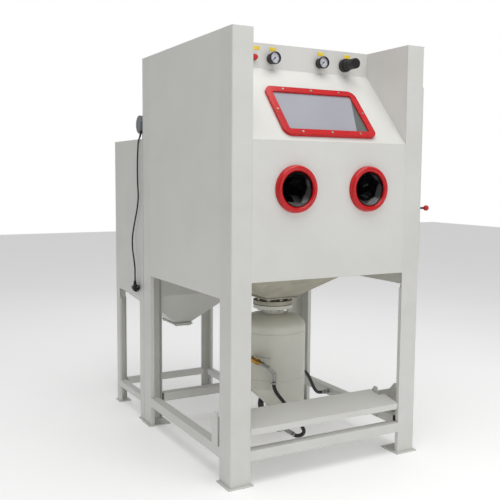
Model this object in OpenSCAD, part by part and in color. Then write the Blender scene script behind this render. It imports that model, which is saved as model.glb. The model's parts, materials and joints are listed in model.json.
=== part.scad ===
// Sandblast cabinet with an under-slung pressure tank and a dust collector behind it.
// Millimetres. Origin: on the floor, in the middle of the cabinet's four feet.
// +X to the operator's right, +Y away from the operator, +Z up.

/* [Cabinet] */
// Width over the side panels
cab_w = 1000; // [850:5:1250]
// Depth from the front face to the back panel
cab_d = 1010; // [860:5:1250]
// Height from the floor to the roof
cab_h = 1920; // [1850:5:2200]
// Thickness of the panel sheet
sheet = 3; // [2:0.5:4]
// Height of the front panel's lower edge
front_edge_z = 877; // [840:1:900]
// Height of the side and back panels' lower edge
side_edge_z = 803; // [780:1:830]
// Height of the bend where the window panel starts
ledge_z = 1471; // [1440:1:1500]
// Height of the bend between window panel and control panel
slope_top_z = 1808; // [1770:1:1820]
// Depth of the recess above the window panel
recess_d = 300; // [250:5:340]

/* [Legs and rails] */
// Width of a leg's face at the front and back
leg_face = 97; // [80:1:120]
// Width of a leg's face at the sides
leg_side = 102; // [80:1:120]
// Sheet thickness of the legs
leg_t = 4; // [3:0.5:6]
// Width of the return lip on the legs
leg_lip = 20; // [12:1:30]
// Thickness of the foot plates
foot_t = 6; // [5:1:10]
// How far a foot plate stands out past its leg
foot_over = 12; // [6:1:20]
// Radius of the anchor holes
anchor_r = 7; // [5:0.5:8]
// Anchor hole's distance in from the leg's outer corner
anchor_in = 65; // [50:1:75]
// Size of the square rail tube
rail = 45; // [35:1:60]
// Height of the rails' underside
rail_z = 108; // [90:1:130]

/* [Window] */
// Length of the window frame across the cabinet
window_w = 486; // [420:2:560]
// Height of the window frame up the slope
window_h = 294; // [250:2:340]
// Width of the frame's border
window_border = 32; // [26:1:40]
// Thickness of the frame
window_t = 14; // [10:1:20]
// Frame's centre to the right of the centre line
window_x = 5; // [-10:1:15]
// Corner radius of the frame
window_r = 38; // [20:1:60]
// Distance from the lower bend to the frame's lower edge
window_up = 27; // [15:1:60]
// Thickness of the glass
glass_t = 6; // [4:0.5:10]

/* [Glove ports] */
// Distance between the two port centres
port_pitch = 382; // [340:2:420]
// Height of the port centres
port_z = 1267; // [1200:1:1300]
// Outer diameter of a port ring
ring_od = 205; // [180:1:220]
// Diameter of the ring's throat
ring_id = 150; // [120:1:160]
// Depth of the ring in front of the panel
ring_t = 24; // [16:1:30]

/* [Controls] */
// Centre height of the gauges, the button and the regulator
controls_z = 1854; // [1845:1:1870]
// Push button's distance from the centre line
button_x = -234; // [-300:1:-200]
// First gauge's distance from the centre line
gauge1_x = -143; // [-180:1:-100]
// Second gauge's distance from the centre line
gauge2_x = 122; // [80:1:180]
// Regulator's distance from the centre line
regulator_x = 263; // [210:1:300]
// Diameter of the gauge case
gauge_d = 54; // [45:1:60]
// Diameter of the regulator's body
regulator_d = 62; // [50:1:70]

/* [Side door] */
// Height of the door
door_h = 820; // [700:5:840]
// Height of the door's lower edge
door_z = 920; // [900:5:960]
// Door's distance in from the front and back faces
door_in = 30; // [25:1:60]
// Thickness of the door pan
door_t = 26; // [20:1:34]
// Radius of the hinge pins
hinge_pin_r = 6; // [4:0.5:8]
// Height of the latch shaft
latch_z = 1174; // [1100:1:1250]

/* [Treadle] */
// Depth of the treadle plate
treadle_d = 172; // [150:1:190]
// Height of the treadle's front fold at rest
treadle_front_z = 249; // [235:1:260]
// Rise of the treadle plate to its back edge
treadle_rise = 31; // [20:1:36]
// Depth of the treadle's front flange
treadle_lip = 31; // [20:1:40]

/* [Hopper and tank] */
// Height of the hopper's upper edge
hopper_top_z = 1020; // [1000:1:1040]
// Height of the hopper's lower edge
hopper_low_z = 725; // [718:1:760]
// Half width of the hopper's outlet
hopper_out = 85; // [75:1:95]
// Radius of the pressure tank
tank_r = 165; // [150:1:180]
// Height of the tank's shoulder
tank_shoulder_z = 578; // [560:1:590]
// Height of the tank's lower edge
tank_low_z = 276; // [266:1:300]
// Radius of the two flanges
flange_r = 99; // [90:1:110]
// Thickness of each flange
flange_t = 18; // [14:1:19]
// Outer radius of the neck pipe
neck_r = 57; // [50:1:60]

/* [Dust collector] */
// Width of the dust collector
dust_w = 600; // [520:5:700]
// Depth of the dust collector
dust_d = 440; // [400:5:520]
// Height of the dust collector's roof
dust_h = 1512; // [1400:2:1600]
// Height of its panels' lower edge
dust_edge_z = 674; // [640:1:720]
// Width of its leg angles
dust_leg = 55; // [45:1:65]
// Height of its hopper's outlet
dust_out_z = 490; // [470:1:540]
// Radius of the fan motor
motor_r = 48; // [40:1:50]

/* [Hidden] */
$fn = 64;
hw = cab_w / 2;
hd = cab_d / 2;
yf = -hd;
yr = yf + recess_d;
slope_a = atan2(slope_top_z - ledge_z, recess_d);
slope_len = norm([slope_top_z - ledge_z, recess_d]);
roof_z = cab_h - sheet;
strip_x = hw - leg_face;
bend_gap = sheet * (1 - sin(slope_a)) / cos(slope_a);
low_bend_z = ledge_z - sheet * cos(slope_a) + bend_gap * sin(slope_a);
top_run = (recess_d + sheet - sheet * sin(slope_a)) / cos(slope_a);
top_bend_z = ledge_z - sheet * cos(slope_a) + top_run * sin(slope_a);
run_gap = 0.05;
port_hole = ring_id / 2 + 6;
window_y = window_up + window_h / 2;
screw_r = 3;
screw_inset = window_border / 2;
gauge_depth = 40;
button_r = 12;
regulator_depth = 48;
knob_r = 24;
knob_len = 50;
door_y0 = yf + door_in;
door_len = cab_d - 2 * door_in;
door_x = hw + 3;
open_in = 45;
seal_t = 3 - run_gap;
hinge_x = door_x + door_t + hinge_pin_r + 4;
hinge_y = door_y0 + door_len + 2;
hinge_zs = [door_z + 120, door_z + door_h - 120];
hinge_len = 96;
knuckle = hinge_len / 3;
latch_y = door_y0 + 35;
bracket_w = 130;
bracket_y0 = yf + leg_side + 20;
bracket_y1 = yf + leg_side + 79;
bracket_x = hw - bracket_w;
bracket_h = 147;
pivot_r = 6;
pivot_y = yf + 150;
pivot_z = treadle_front_z + 13;
treadle_a = atan2(treadle_rise, treadle_d);
bar_z = rail_z + rail + 12;
bar_h = 40;
valve_x = -205;
valve_y = yf + 100;
valve_z0 = bar_z + 20;
valve_h = 44;
neck_wall = 5;
flange_gap = 3;
tank_flange_z = hopper_low_z - 20 - 2 * flange_t - flange_gap;
bolt_pcd = flange_r + neck_r;
bolt_count = 8;
bolt_r = 6;
tank_wall = 5;
cone_top_r = tank_r - 25;
cone_low_r = 28;
cone_low_z = tank_low_z - cone_top_r + cone_low_r;
boss_a = -152;
air_a = -117.6;
boss_z = 440;
boss_len = 20;
supply_a = 19;
supply_z = 300;
valve_dir = [0.62, -0.72, -0.30];
dust_x0 = -hw;
dust_y0 = hd + 2;
dust_cx = dust_x0 + dust_w / 2;
dust_cy = dust_y0 + dust_d / 2;
dust_sheet = 2;
dust_lip_z = dust_edge_z - 60;
dust_rail = 35;
dust_rail_z = 95;
tube_sheet_z = dust_h - 90;
dust_out_w = 95;
dust_out_d = 175;
dust_out_x = dust_cx - 12;
dust_out_y = dust_cy + 5;
duct_r = 75;
duct_x = -200;
duct_z = 1330;
motor_x0 = dust_x0 + 20;
motor_len = 150;
motor_y = dust_y0 + 99;
motor_z = dust_h + motor_r + 32;
scroll_r = 76;
scroll_w = 90;
wheel_r = 62;
cord_r = 4;
hose_r = 9;
blast_r = 16;

// Free mains lead: from the gland on the motor box down past the collector's side
cord_pts = [
    [-492, 549, 1556], [-492, 549, 1545], [-498, 545, 1526], [-508, 540, 1506],
    [-511, 541, 1478], [-512, 545, 1435], [-513, 548, 1364], [-514, 543, 1280],
    [-515, 533, 1214], [-516, 547, 1150], [-518, 585, 1067], [-520, 613, 990],
    [-521, 609, 925], [-522, 585, 870], [-522, 573, 825], [-522, 572, 788],
    [-522, 572, 760]
];
// A point c clear of the tank's shell, at angle a and height z
function beside(c, a, z) = [(tank_r + c) * cos(a), (tank_r + c) * sin(a), z];
// Air hose from the tank valve's elbow to the foot valve's barb
air_pts = [
    beside(33.6, air_a, 338), beside(33.6, air_a, 310), beside(36.4, air_a + 3.6, 280),
    beside(44.4, air_a + 10.4, 248),
    [-44, -226, 216], [-32, -260, 184], [-26, -298, 159], [-30, -338, 146],
    [-50, -378, 141], [-80, -401, 139], [-109.5, -405, 142.5], [-136, -405, 160]
];
// Supply hose from the tank's lower boss to the fitting on the right-hand rail
supply_pts = [
    beside(40, supply_a, supply_z), beside(68, supply_a, supply_z),
    beside(104, supply_a, supply_z - 16), beside(140, supply_a, supply_z - 50),
    [320, 114, 204], [350, 130, 162], [378, 144, 138], [402, 150, 130], [425, 150, 130]
];
// Blast hose from the metering valve up behind the tank and into the chamber
blast_pts = [
    [0, 60, 108], [0, 92, 108], [26, 158, 120], [72, 206, 176], [96, 226, 270],
    [100, 230, 380], [100, 230, 500], [100, 230, 620], [100, 230, 740],
    [100, 230, 860], [100, 230, 960], [100, 228, 1060], [100, 206, 1130],
    [100, 150, 1176], [100, 84, 1172], [100, 32, 1132], [100, -10, 1090],
    [100, -60, 1062], [100, -120, 1051], [100, -160, 1051]
];

// ---------- helpers ----------

function turn_frame(u, t) = let (w = u - (u * t) * t) w / norm(w);
function frames(ts, u, i) =
    i >= len(ts) ? [] : let (v = turn_frame(u, ts[i])) concat([v], frames(ts, v, i + 1));

// A smooth tube of radius r along the points, with n sides
module tube_along(p, r, n = 8, start = [1, 0.3, 0.2]) {
    last = len(p) - 1;
    ts = [for (i = [0 : last])
        let (d = p[min(i + 1, last)] - p[max(i - 1, 0)]) d / norm(d)];
    us = frames(ts, start, 0);
    ring = [for (i = [0 : last], k = [0 : n - 1])
        p[i] + r * (cos(360 * k / n) * us[i] + sin(360 * k / n) * cross(ts[i], us[i]))];
    side = [for (i = [0 : last - 1], k = [0 : n - 1])
        let (a = i * n + k, b = i * n + (k + 1) % n) [a, a + n, b + n, b]];
    tris = [for (f = side) each [[f[0], f[1], f[2]], [f[0], f[2], f[3]]]];
    ends = [[for (k = [0 : n - 1]) k], [for (k = [n - 1 : -1 : 0]) last * n + k]];
    polyhedron(points = ring, faces = concat(tris, ends));
}

// Points the child's +Z along direction d
module aim(d) {
    rotate([0, acos(d[2] / norm(d)), atan2(d[1], d[0])]) children();
}

// A profile drawn as (y, z) and extruded along X from x0 to x1
module along_x(x0, x1) {
    translate([x0, 0, 0]) rotate([90, 0, 90]) linear_extrude(x1 - x0) children();
}

// Rectangle with rounded corners, centred
module rounded_rect(w, h, r) {
    square([w - 2 * r, h], center = true);
    square([w, h - 2 * r], center = true);
    for (sx = [-1, 1], sy = [-1, 1])
        translate([sx * (w / 2 - r), sy * (h / 2 - r)]) circle(r = r);
}

// Local frame on the window panel: +X across, +Y up the slope, +Z outwards
module on_slope() {
    translate([0, yf, ledge_z]) rotate([slope_a, 0, 0]) children();
}

// Places a child that is drawn along +Z so that it points to the operator
module facing_front(x, y, z) {
    translate([x, y, z]) rotate([90, 0, 0]) children();
}

module box(x0, x1, y0, y1, z0, z1) {
    translate([x0, y0, z0]) cube([x1 - x0, y1 - y0, z1 - z0]);
}

// ---------- legs, feet and rails ----------

// Folded leg section with its outer corner at the origin
module leg_section(face, side, t, lip, r = 6) {
    difference() {
        union() {
            translate([r, 0]) square([face - r, side]);
            translate([0, r]) square([face, side - r]);
            translate([r, r]) circle(r = r);
        }
        translate([t, t]) square([face, side]);
    }
    if (lip > t) {
        translate([face - t, 0]) square([t, lip]);
        translate([0, side - t]) square([lip, t]);
    }
}

module leg(sx, sy, lip_top) {
    mirror([sx > 0 ? 1 : 0, 0, 0]) mirror([0, sy > 0 ? 1 : 0, 0])
        translate([-hw, -hd, 0]) {
            translate([0, 0, foot_t]) linear_extrude(lip_top - foot_t)
                leg_section(leg_face, leg_side, leg_t, leg_lip);
            translate([0, 0, lip_top]) linear_extrude(roof_z - lip_top)
                leg_section(leg_face, leg_side, leg_t, 0);
        }
}

module leg_front_left() { color("gainsboro") leg(-1, -1, side_edge_z); }
module leg_front_right() { color("gainsboro") leg(1, -1, side_edge_z); }
module rear_legs() {
    color("gainsboro") {
        leg(-1, 1, side_edge_z);
        leg(1, 1, side_edge_z);
    }
}

// Square plate under a leg, standing out by over_y past the leg's front or back face
module foot_plate(size, over_x, over_y) {
    difference() {
        translate([-over_x, -over_y, 0])
            cube([size + over_x + foot_over, size + over_y + foot_over, foot_t]);
        translate([anchor_in - 5, anchor_in, -1]) cylinder(r = anchor_r, h = foot_t + 2);
    }
}

module foot_plates() {
    color("gainsboro")
        for (mx = [0, 1], my = [0, 1])
            mirror([mx, 0, 0]) mirror([0, my, 0]) translate([-hw, -hd, 0])
                foot_plate(leg_face, foot_over, my == 1 ? 1 : foot_over);
}

module rail_tube(x0, x1, y0, y1, t = 3) {
    long_x = (x1 - x0) > (y1 - y0);
    difference() {
        box(x0, x1, y0, y1, rail_z, rail_z + rail);
        if (long_x) box(x0 - 1, x1 + 1, y0 + t, y1 - t, rail_z + t, rail_z + rail - t);
        else box(x0 + t, x1 - t, y0 - 1, y1 + 1, rail_z + t, rail_z + rail - t);
    }
}

module bottom_rails() {
    color("gainsboro") {
        for (y = [yf, hd - rail]) rail_tube(-strip_x, strip_x, y, y + rail);
        for (x = [-hw, hw - rail]) rail_tube(x, x + rail, yf + leg_side, hd - leg_side);
    }
}

// ---------- cabinet panels ----------

module left_side_panel() {
    color("gainsboro") {
        box(-hw, -hw + sheet, yf + leg_side, hd - leg_side, side_edge_z, roof_z);
        box(-hw + sheet, -hw + 15, yf + leg_side, hd - leg_side, side_edge_z,
            side_edge_z + sheet);
    }
}

module right_side_frame() {
    color("gainsboro") difference() {
        box(hw - sheet, hw, yf + leg_side, hd - leg_side, side_edge_z, roof_z);
        box(hw - sheet - 1, hw + 1, yf + leg_side + 12, hd - leg_side - 12,
            door_z + open_in, door_z + door_h - open_in);
    }
}

module front_panel() {
    color("whitesmoke") difference() {
        along_x(-strip_x, strip_x) polygon([
            [yf, front_edge_z], [yf + sheet, front_edge_z],
            [yf + sheet, low_bend_z], [yf, ledge_z]]);
        for (s = [-1, 1])
            facing_front(s * port_pitch / 2, yf + sheet + 1, port_z)
                cylinder(r = port_hole, h = sheet + 2);
    }
}

module window_panel() {
    color("white") difference() {
        along_x(-strip_x, strip_x) polygon([
            [yf, ledge_z], [yf + sheet, low_bend_z],
            [yr + sheet, top_bend_z], [yr, slope_top_z]]);
        on_slope() translate([window_x, window_y, -sheet - 1]) linear_extrude(sheet + 2)
            rounded_rect(window_w - 2 * window_border - 16,
                window_h - 2 * window_border - 16, 10);
        on_slope() window_screw_places() translate([0, 0, -sheet - 1])
            cylinder(r = screw_r + run_gap, h = sheet + 2);
    }
}

module control_panel() {
    color("whitesmoke") difference() {
        along_x(-strip_x, strip_x) polygon([
            [yr, slope_top_z], [yr + sheet, top_bend_z], [yr + sheet, roof_z], [yr, roof_z]]);
        for (x = [button_x, gauge1_x, gauge2_x, regulator_x])
            facing_front(x, yr + sheet + 1, controls_z) cylinder(r = 10, h = sheet + 2);
    }
}

module roof_panel() {
    color("gainsboro") difference() {
        box(-hw, hw, yf, hd, roof_z, cab_h);
        box(-strip_x, strip_x, yf - 1, yr, roof_z - 1, cab_h + 1);
    }
}

module back_panel() {
    color("gainsboro") difference() {
        box(-strip_x, strip_x, hd - sheet, hd, side_edge_z, roof_z);
        translate([duct_x, hd + 1, duct_z]) rotate([90, 0, 0])
            cylinder(r = duct_r + run_gap, h = sheet + 2);
    }
}

module wing_cheeks() {
    y0 = yf + leg_t;
    z0 = ledge_z + (slope_top_z - ledge_z) * leg_t / recess_d;
    color("whitesmoke")
        for (mx = [0, 1]) mirror([mx, 0, 0])
            along_x(-strip_x - sheet, -strip_x) polygon([
                [y0, z0], [yr, slope_top_z], [yr + sheet, top_bend_z],
                [yr + sheet, roof_z], [y0, roof_z]]);
}

module work_grate() {
    pitch = 90;
    hole_r = 32;
    nx = floor((hw - 60) / pitch);
    color("dimgray") difference() {
        box(-hw + leg_t + 1, hw - leg_t - 1, yf + leg_t + 1, hd - leg_t - 1,
            hopper_top_z, hopper_top_z + 4);
        for (i = [-nx : nx], j = [-nx : nx])
            translate([i * pitch + 10, j * pitch + 50, hopper_top_z - 1])
                cylinder(r = hole_r, h = 6, $fn = 32);
    }
}

// ---------- hopper ----------

// One mitred wall of a four-sided hopper, from the top half sizes to the low ones
module hopper_wall(ax, ay, az, bx, by, bz, t, sy) {
    pts = [
        [-ax, sy * ay, az], [ax, sy * ay, az], [ax - t, sy * (ay - t), az],
        [-ax + t, sy * (ay - t), az], [-bx, sy * by, bz], [bx, sy * by, bz],
        [bx - t, sy * (by - t), bz], [-bx + t, sy * (by - t), bz]];
    faces = sy > 0
        ? [[0, 1, 2, 3], [7, 6, 5, 4], [4, 5, 1, 0], [5, 6, 2, 1], [6, 7, 3, 2], [7, 4, 0, 3]]
        : [[3, 2, 1, 0], [4, 5, 6, 7], [0, 1, 5, 4], [1, 2, 6, 5], [2, 3, 7, 6], [3, 0, 4, 7]];
    polyhedron(points = pts, faces = faces);
}

module hopper_walls(ax, ay, az, bx, by, bz, t) {
    for (s = [-1, 1]) hopper_wall(ax, ay, az, bx, by, bz, t, s);
    for (s = [-1, 1]) rotate([0, 0, -90]) hopper_wall(ay, ax, az, by, bx, bz, t, s);
}

module hopper() {
    color("darkgray") difference() {
        hopper_walls(hw - leg_t, hd - leg_t, hopper_top_z, hopper_out, hopper_out,
            hopper_low_z, 4);
        translate([blast_pts[8][0], blast_pts[8][1], hopper_low_z])
            cylinder(r = blast_r + 2, h = hopper_top_z - hopper_low_z);
    }
}

module hopper_outlet() {
    plate_t = 6;
    top_flange_z = tank_flange_z + flange_t + flange_gap;
    color("gray") difference() {
        union() {
            box(-hopper_out - 6, hopper_out + 6, -hopper_out - 6, hopper_out + 6,
                hopper_low_z - plate_t, hopper_low_z);
            translate([0, 0, top_flange_z])
                cylinder(r = neck_r, h = hopper_low_z - plate_t - top_flange_z);
            translate([0, 0, top_flange_z]) cylinder(r = flange_r, h = flange_t);
        }
        translate([0, 0, top_flange_z - 1]) cylinder(r = neck_r - neck_wall, h = 60);
        flange_bolt_places() translate([0, 0, top_flange_z - 1])
            cylinder(r = bolt_r + 0.5, h = flange_t + 1.5);
    }
}

module flange_bolt_places() {
    for (k = [0 : bolt_count - 1]) rotate([0, 0, 360 * k / bolt_count])
        translate([bolt_pcd / 2, 0, 0]) children();
}

module flange_bolts() {
    stack = 2 * flange_t + flange_gap;
    color("dimgray") flange_bolt_places() {
        translate([0, 0, tank_flange_z - 9]) cylinder(r = 10, h = 9, $fn = 6);
        translate([0, 0, tank_flange_z - 9]) cylinder(r = bolt_r, h = stack + 21);
        translate([0, 0, tank_flange_z + stack]) cylinder(r = 10, h = 10, $fn = 6);
    }
}

// ---------- window ----------

module window_screw_places() {
    px = window_w / 2 - screw_inset;
    py = window_h / 2 - screw_inset;
    for (k = [-1, 0, 1], s = [-1, 1])
        translate([window_x + k * 152, window_y + s * py, 0]) children();
    for (s = [-1, 1]) translate([window_x + s * px, window_y, 0]) children();
}

module window_frame() {
    color("crimson") on_slope() difference() {
        translate([window_x, window_y, 0]) linear_extrude(window_t)
            rounded_rect(window_w, window_h, window_r);
        translate([window_x, window_y, -1]) linear_extrude(window_t + 2)
            rounded_rect(window_w - 2 * window_border, window_h - 2 * window_border, 9);
        translate([window_x, window_y, -1]) linear_extrude(1 + glass_t + run_gap)
            square([window_w - 2 * window_border + 22, window_h - 2 * window_border + 22],
                center = true);
        window_screw_places() translate([0, 0, -1])
            cylinder(r = screw_r + run_gap, h = window_t + 2);
    }
}

module window_glass() {
    color([0.8, 0.85, 0.85, 0.4]) on_slope()
        translate([window_x, window_y, 0]) linear_extrude(glass_t)
            square([window_w - 2 * window_border + 20, window_h - 2 * window_border + 20],
                center = true);
}

module window_screws() {
    color("silver") on_slope() window_screw_places() {
        translate([0, 0, -sheet - 4]) cylinder(r = screw_r, h = window_t + sheet + 4);
        translate([0, 0, window_t]) cylinder(r = screw_r * 1.8, h = 2.5);
    }
}

// ---------- glove ports ----------

module glove_ring(sx) {
    ro = ring_od / 2;
    ri = ring_id / 2;
    color("red") facing_front(sx * port_pitch / 2, yf, port_z) rotate_extrude() {
        difference() {
            union() {
                polygon([[ri, -34], [ri + 4, -34], [ri + 5, 0], [ro, 0],
                    [ro - 2, ring_t * 0.55], [ro - 14, ring_t], [ri + 12, ring_t * 0.8],
                    [ri, 4]]);
                translate([ro - 14, ring_t - 12]) circle(r = 12);
            }
            translate([0, -40]) square([ri - 1, 80]);
            translate([ri + 5, -60]) square([60, 60]);
        }
    }
}
module glove_ring_left() { glove_ring(-1); }
module glove_ring_right() { glove_ring(1); }

// Rubber glove sleeve: a short cuff inside the ring's throat, then the hanging glove
module glove(sx) {
    rc = ring_id / 2;
    color("black") facing_front(sx * port_pitch / 2, yf, port_z) {
        rotate_extrude() polygon([[rc - 5, -96], [rc - 5, -14], [rc, -14], [rc, -108],
            [0, -108], [0, -96]]);
        translate([0, 0, -118]) cylinder(r1 = rc - 24, r2 = rc, h = 10);
        translate([0, -4, -160]) cylinder(r = rc - 26, h = 44);
        translate([0, -4, -160]) sphere(r = rc - 26);
        translate([0, -4, -160]) rotate([68, 0, 0]) cylinder(r = rc - 34, h = 116);
    }
}
module glove_left() { glove(-1); }
module glove_right() { glove(1); }

// ---------- controls ----------

module push_button_collar() {
    color("gray") facing_front(button_x, yr, controls_z) difference() {
        union() {
            translate([0, 0, -sheet - 22]) cylinder(r = 9.9, h = sheet + 22);
            cylinder(r = 15, h = 6);
        }
        translate([0, 0, -6]) cylinder(r = 8 + run_gap, h = 20);
        translate([0, 0, 2]) cylinder(r = button_r + 0.2, h = 20);
    }
}

module push_button_cap() {
    color("red") facing_front(button_x, yr, controls_z) {
        translate([0, 0, 1]) cylinder(r = 8, h = 6);
        translate([0, 0, 6.5]) cylinder(r = button_r, h = 11);
        translate([0, 0, 17]) cylinder(r1 = button_r, r2 = button_r - 2, h = 2);
    }
}

module gauge_case(x) {
    r = gauge_d / 2;
    facing_front(x, yr, controls_z) difference() {
        union() {
            translate([0, 0, -sheet - 20]) cylinder(r = 9.9, h = sheet + 24);
            cylinder(r = r - 3, h = gauge_depth - 8);
            translate([0, 0, gauge_depth - 10]) cylinder(r = r, h = 10);
        }
        translate([0, 0, gauge_depth - 9]) cylinder(r = r - 3, h = 20);
    }
    facing_front(x, yr, controls_z) translate([0, 0, gauge_depth - 9.5])
        cylinder(r = 1.5, h = 5);
}

module gauge_cases() {
    color([0.2, 0.2, 0.21]) {
        gauge_case(gauge1_x);
        gauge_case(gauge2_x);
    }
}

module gauge_lenses() {
    color([0.9, 0.9, 0.95, 0.4])
        for (x = [gauge1_x, gauge2_x]) facing_front(x, yr, controls_z)
            translate([0, 0, gauge_depth - 3]) cylinder(r = gauge_d / 2 - 3, h = 2);
}

// Needle on the pin, pointing at angle a from the horizontal
module gauge_needle(x, a) {
    color("black") facing_front(x, yr, controls_z) rotate([0, 0, a])
        translate([0, 0, gauge_depth - 7]) difference() {
            union() {
                translate([-7, -1.2, 0]) cube([24, 2.4, 1]);
                cylinder(r = 3.4, h = 1.6);
            }
            translate([0, 0, -1]) cylinder(r = 1.5 + run_gap, h = 4);
        }
}
module gauge_needle_left() { gauge_needle(gauge1_x, 225); }
module gauge_needle_right() { gauge_needle(gauge2_x, 225); }

module regulator_body() {
    color([0.12, 0.12, 0.12]) facing_front(regulator_x, yr, controls_z) {
        translate([0, 0, -sheet - 26]) cylinder(r = 9.9, h = sheet + 30);
        cylinder(r = regulator_d / 2, h = 22);
        translate([0, 0, 22]) cylinder(r = regulator_d / 2 - 6, h = regulator_depth - 22);
        cylinder(r = 6, h = regulator_depth + 12);
    }
}

module regulator_knob() {
    color([0.1, 0.1, 0.1]) facing_front(regulator_x, yr, controls_z)
        translate([0, 0, regulator_depth + 0.5]) difference() {
            union() {
                cylinder(r = knob_r - 1, h = knob_len);
                for (k = [0 : 17]) rotate([0, 0, k * 20]) translate([knob_r - 2, 0, 8])
                    cylinder(r = 2.4, h = knob_len - 10);
            }
            translate([0, 0, -1]) cylinder(r = 6 + run_gap, h = 14);
        }
}

// ---------- side door ----------

module side_door() {
    skin = 2;
    y1 = door_y0 + door_len;
    z1 = door_z + door_h;
    color("gainsboro") difference() {
        union() {
            difference() {
                box(door_x, door_x + door_t, door_y0, y1, door_z, z1);
                box(door_x - 1, door_x + door_t - skin, door_y0 + 22, y1 - 22,
                    door_z + 22, z1 - 22);
            }
            for (z = hinge_zs) {
                translate([hinge_x, hinge_y, z - knuckle / 2])
                    cylinder(r = hinge_pin_r + 3, h = knuckle);
                box(door_x + door_t, hinge_x, hinge_y - 30, hinge_y,
                    z - knuckle / 2, z + knuckle / 2);
            }
        }
        for (z = hinge_zs) translate([hinge_x, hinge_y, z - knuckle])
            cylinder(r = hinge_pin_r + run_gap, h = 2 * knuckle);
        translate([door_x - 1, latch_y, latch_z]) rotate([0, 90, 0])
            cylinder(r = 8 + run_gap, h = door_t + 2);
    }
}

// Door seal on the side frame, and the gasket between the two flanges
module seals() {
    y1 = door_y0 + door_len;
    z1 = door_z + door_h;
    color("black") {
        difference() {
            box(hw, hw + seal_t, door_y0 + 2, y1 - 2, door_z + 2, z1 - 2);
            box(hw - 1, hw + 10, door_y0 + 20, y1 - 20, door_z + 20, z1 - 20);
        }
        difference() {
            translate([0, 0, tank_flange_z + flange_t]) cylinder(r = flange_r, h = flange_gap);
            translate([0, 0, tank_flange_z]) cylinder(r = neck_r - neck_wall, h = 60);
            flange_bolt_places() translate([0, 0, tank_flange_z])
                cylinder(r = bolt_r + 0.5, h = 60);
        }
    }
}

module door_hinge_pins() {
    gap = 0.4;
    color("gray") for (z = hinge_zs) {
        translate([hinge_x, hinge_y, z - hinge_len / 2])
            cylinder(r = hinge_pin_r, h = hinge_len);
        for (s = [-1, 1]) {
            z0 = z + (s > 0 ? knuckle / 2 + gap : -hinge_len / 2);
            h = knuckle - gap;
            translate([hinge_x, hinge_y, z0]) cylinder(r = hinge_pin_r + 3, h = h);
            box(hw, hinge_x + 3, hinge_y + 1, hinge_y + 5, z0, z0 + h);
            box(hw, hw + 3, hinge_y + 1, hd, z0, z0 + h);
        }
    }
}

// Latch: shaft through the door, cam behind it, cranked arm and ball knob outside
module door_handle() {
    x_out = door_x + door_t;
    knob = [x_out + 63, -5, 0];
    color("dimgray") translate([0, latch_y, latch_z]) {
        translate([door_x - 1, 0, 0]) rotate([0, 90, 0]) cylinder(r = 8, h = door_t + 15);
        translate([x_out + 1, 0, 0]) rotate([0, 90, 0]) cylinder(r = 14, h = 8);
        translate([x_out + 10, 0, 0]) aim([knob[0] - x_out - 10, knob[1], 0])
            cylinder(r = 5, h = norm([knob[0] - x_out - 10, knob[1]]) - 8);
    }
    color("red") translate([knob[0], latch_y + knob[1], latch_z]) sphere(r = 13.5);
}

// ---------- treadle and foot valve ----------

module treadle_outline() {
    notch = bracket_x + 6;
    polygon([[-strip_x + 3, 0], [strip_x - 3, 0], [strip_x - 3, 104], [notch - 12, 104],
        [notch - 12, treadle_d], [-notch + 12, treadle_d], [-notch + 12, 104],
        [-strip_x + 3, 104]]);
}

module treadle() {
    ear_x = bracket_x - 8;
    color("gainsboro") difference() {
        union() {
            translate([0, yf, treadle_front_z]) rotate([treadle_a, 0, 0]) {
                translate([0, 0, -3]) linear_extrude(3) treadle_outline();
                box(-strip_x + 3, strip_x - 3, 0, 3, -treadle_lip, 0);
                box(-ear_x, ear_x, treadle_d - 3, treadle_d, -14, 0);
                for (x = [-ear_x, ear_x - 4]) box(x, x + 4, 134, treadle_d, -28, -3);
            }
        }
        along_pivot(2 * ear_x + 10) cylinder(r = pivot_r + run_gap, h = 2 * ear_x + 10);
    }
}

module along_pivot(len) {
    translate([-len / 2, pivot_y, pivot_z]) rotate([0, 90, 0]) children();
}

module treadle_brackets() {
    z0 = rail_z + rail;
    z1 = z0 + bracket_h;
    t = 4;
    web_y = bracket_y1 - t;
    color("gainsboro") for (mx = [0, 1]) mirror([mx, 0, 0]) {
        for (x = [-hw, -bracket_x - t]) along_x(x, x + t) polygon([
            [bracket_y0, z0], [web_y, z0], [web_y, z1 - 35], [web_y - 32, z1],
            [bracket_y0, z1]]);
        box(-hw, -bracket_x, web_y, bracket_y1, z0, z1 - 38);
        translate([-bracket_x - t - 8, pivot_y, pivot_z]) rotate([0, 90, 0])
            cylinder(r = pivot_r, h = t + 8 + 14);
    }
    color("gainsboro") box(-bracket_x, bracket_x, web_y, bracket_y1, bar_z, bar_z + bar_h);
}

module foot_valve() {
    color("silver") {
        difference() {
            box(valve_x - 18, valve_x + 18, valve_y - 25, valve_y + 25, valve_z0,
                valve_z0 + valve_h);
            translate([valve_x, valve_y, valve_z0 + 10])
                cylinder(r = 6 + run_gap, h = valve_h);
        }
        box(valve_x - 15, valve_x + 15, valve_y + 25, bracket_y1 - 4, valve_z0 + 2,
            valve_z0 + 14);
    }
}

module foot_valve_plunger() {
    top_z = treadle_front_z + (valve_y - yf) * tan(treadle_a) - 3.2 - 6;
    color("darkgray") {
        translate([valve_x, valve_y, valve_z0 + 24])
            cylinder(r = 6, h = top_z - valve_z0 - 24);
        translate([valve_x, valve_y, top_z]) sphere(r = 6 - run_gap);
    }
}

// ---------- pressure tank ----------

function dome(r0, z0, r1, z1, n) =
    [for (k = [0 : n]) let (a = 90 * k / n) [r1 + (r0 - r1) * cos(a), z0 + (z1 - z0) * sin(a)]];

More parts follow.
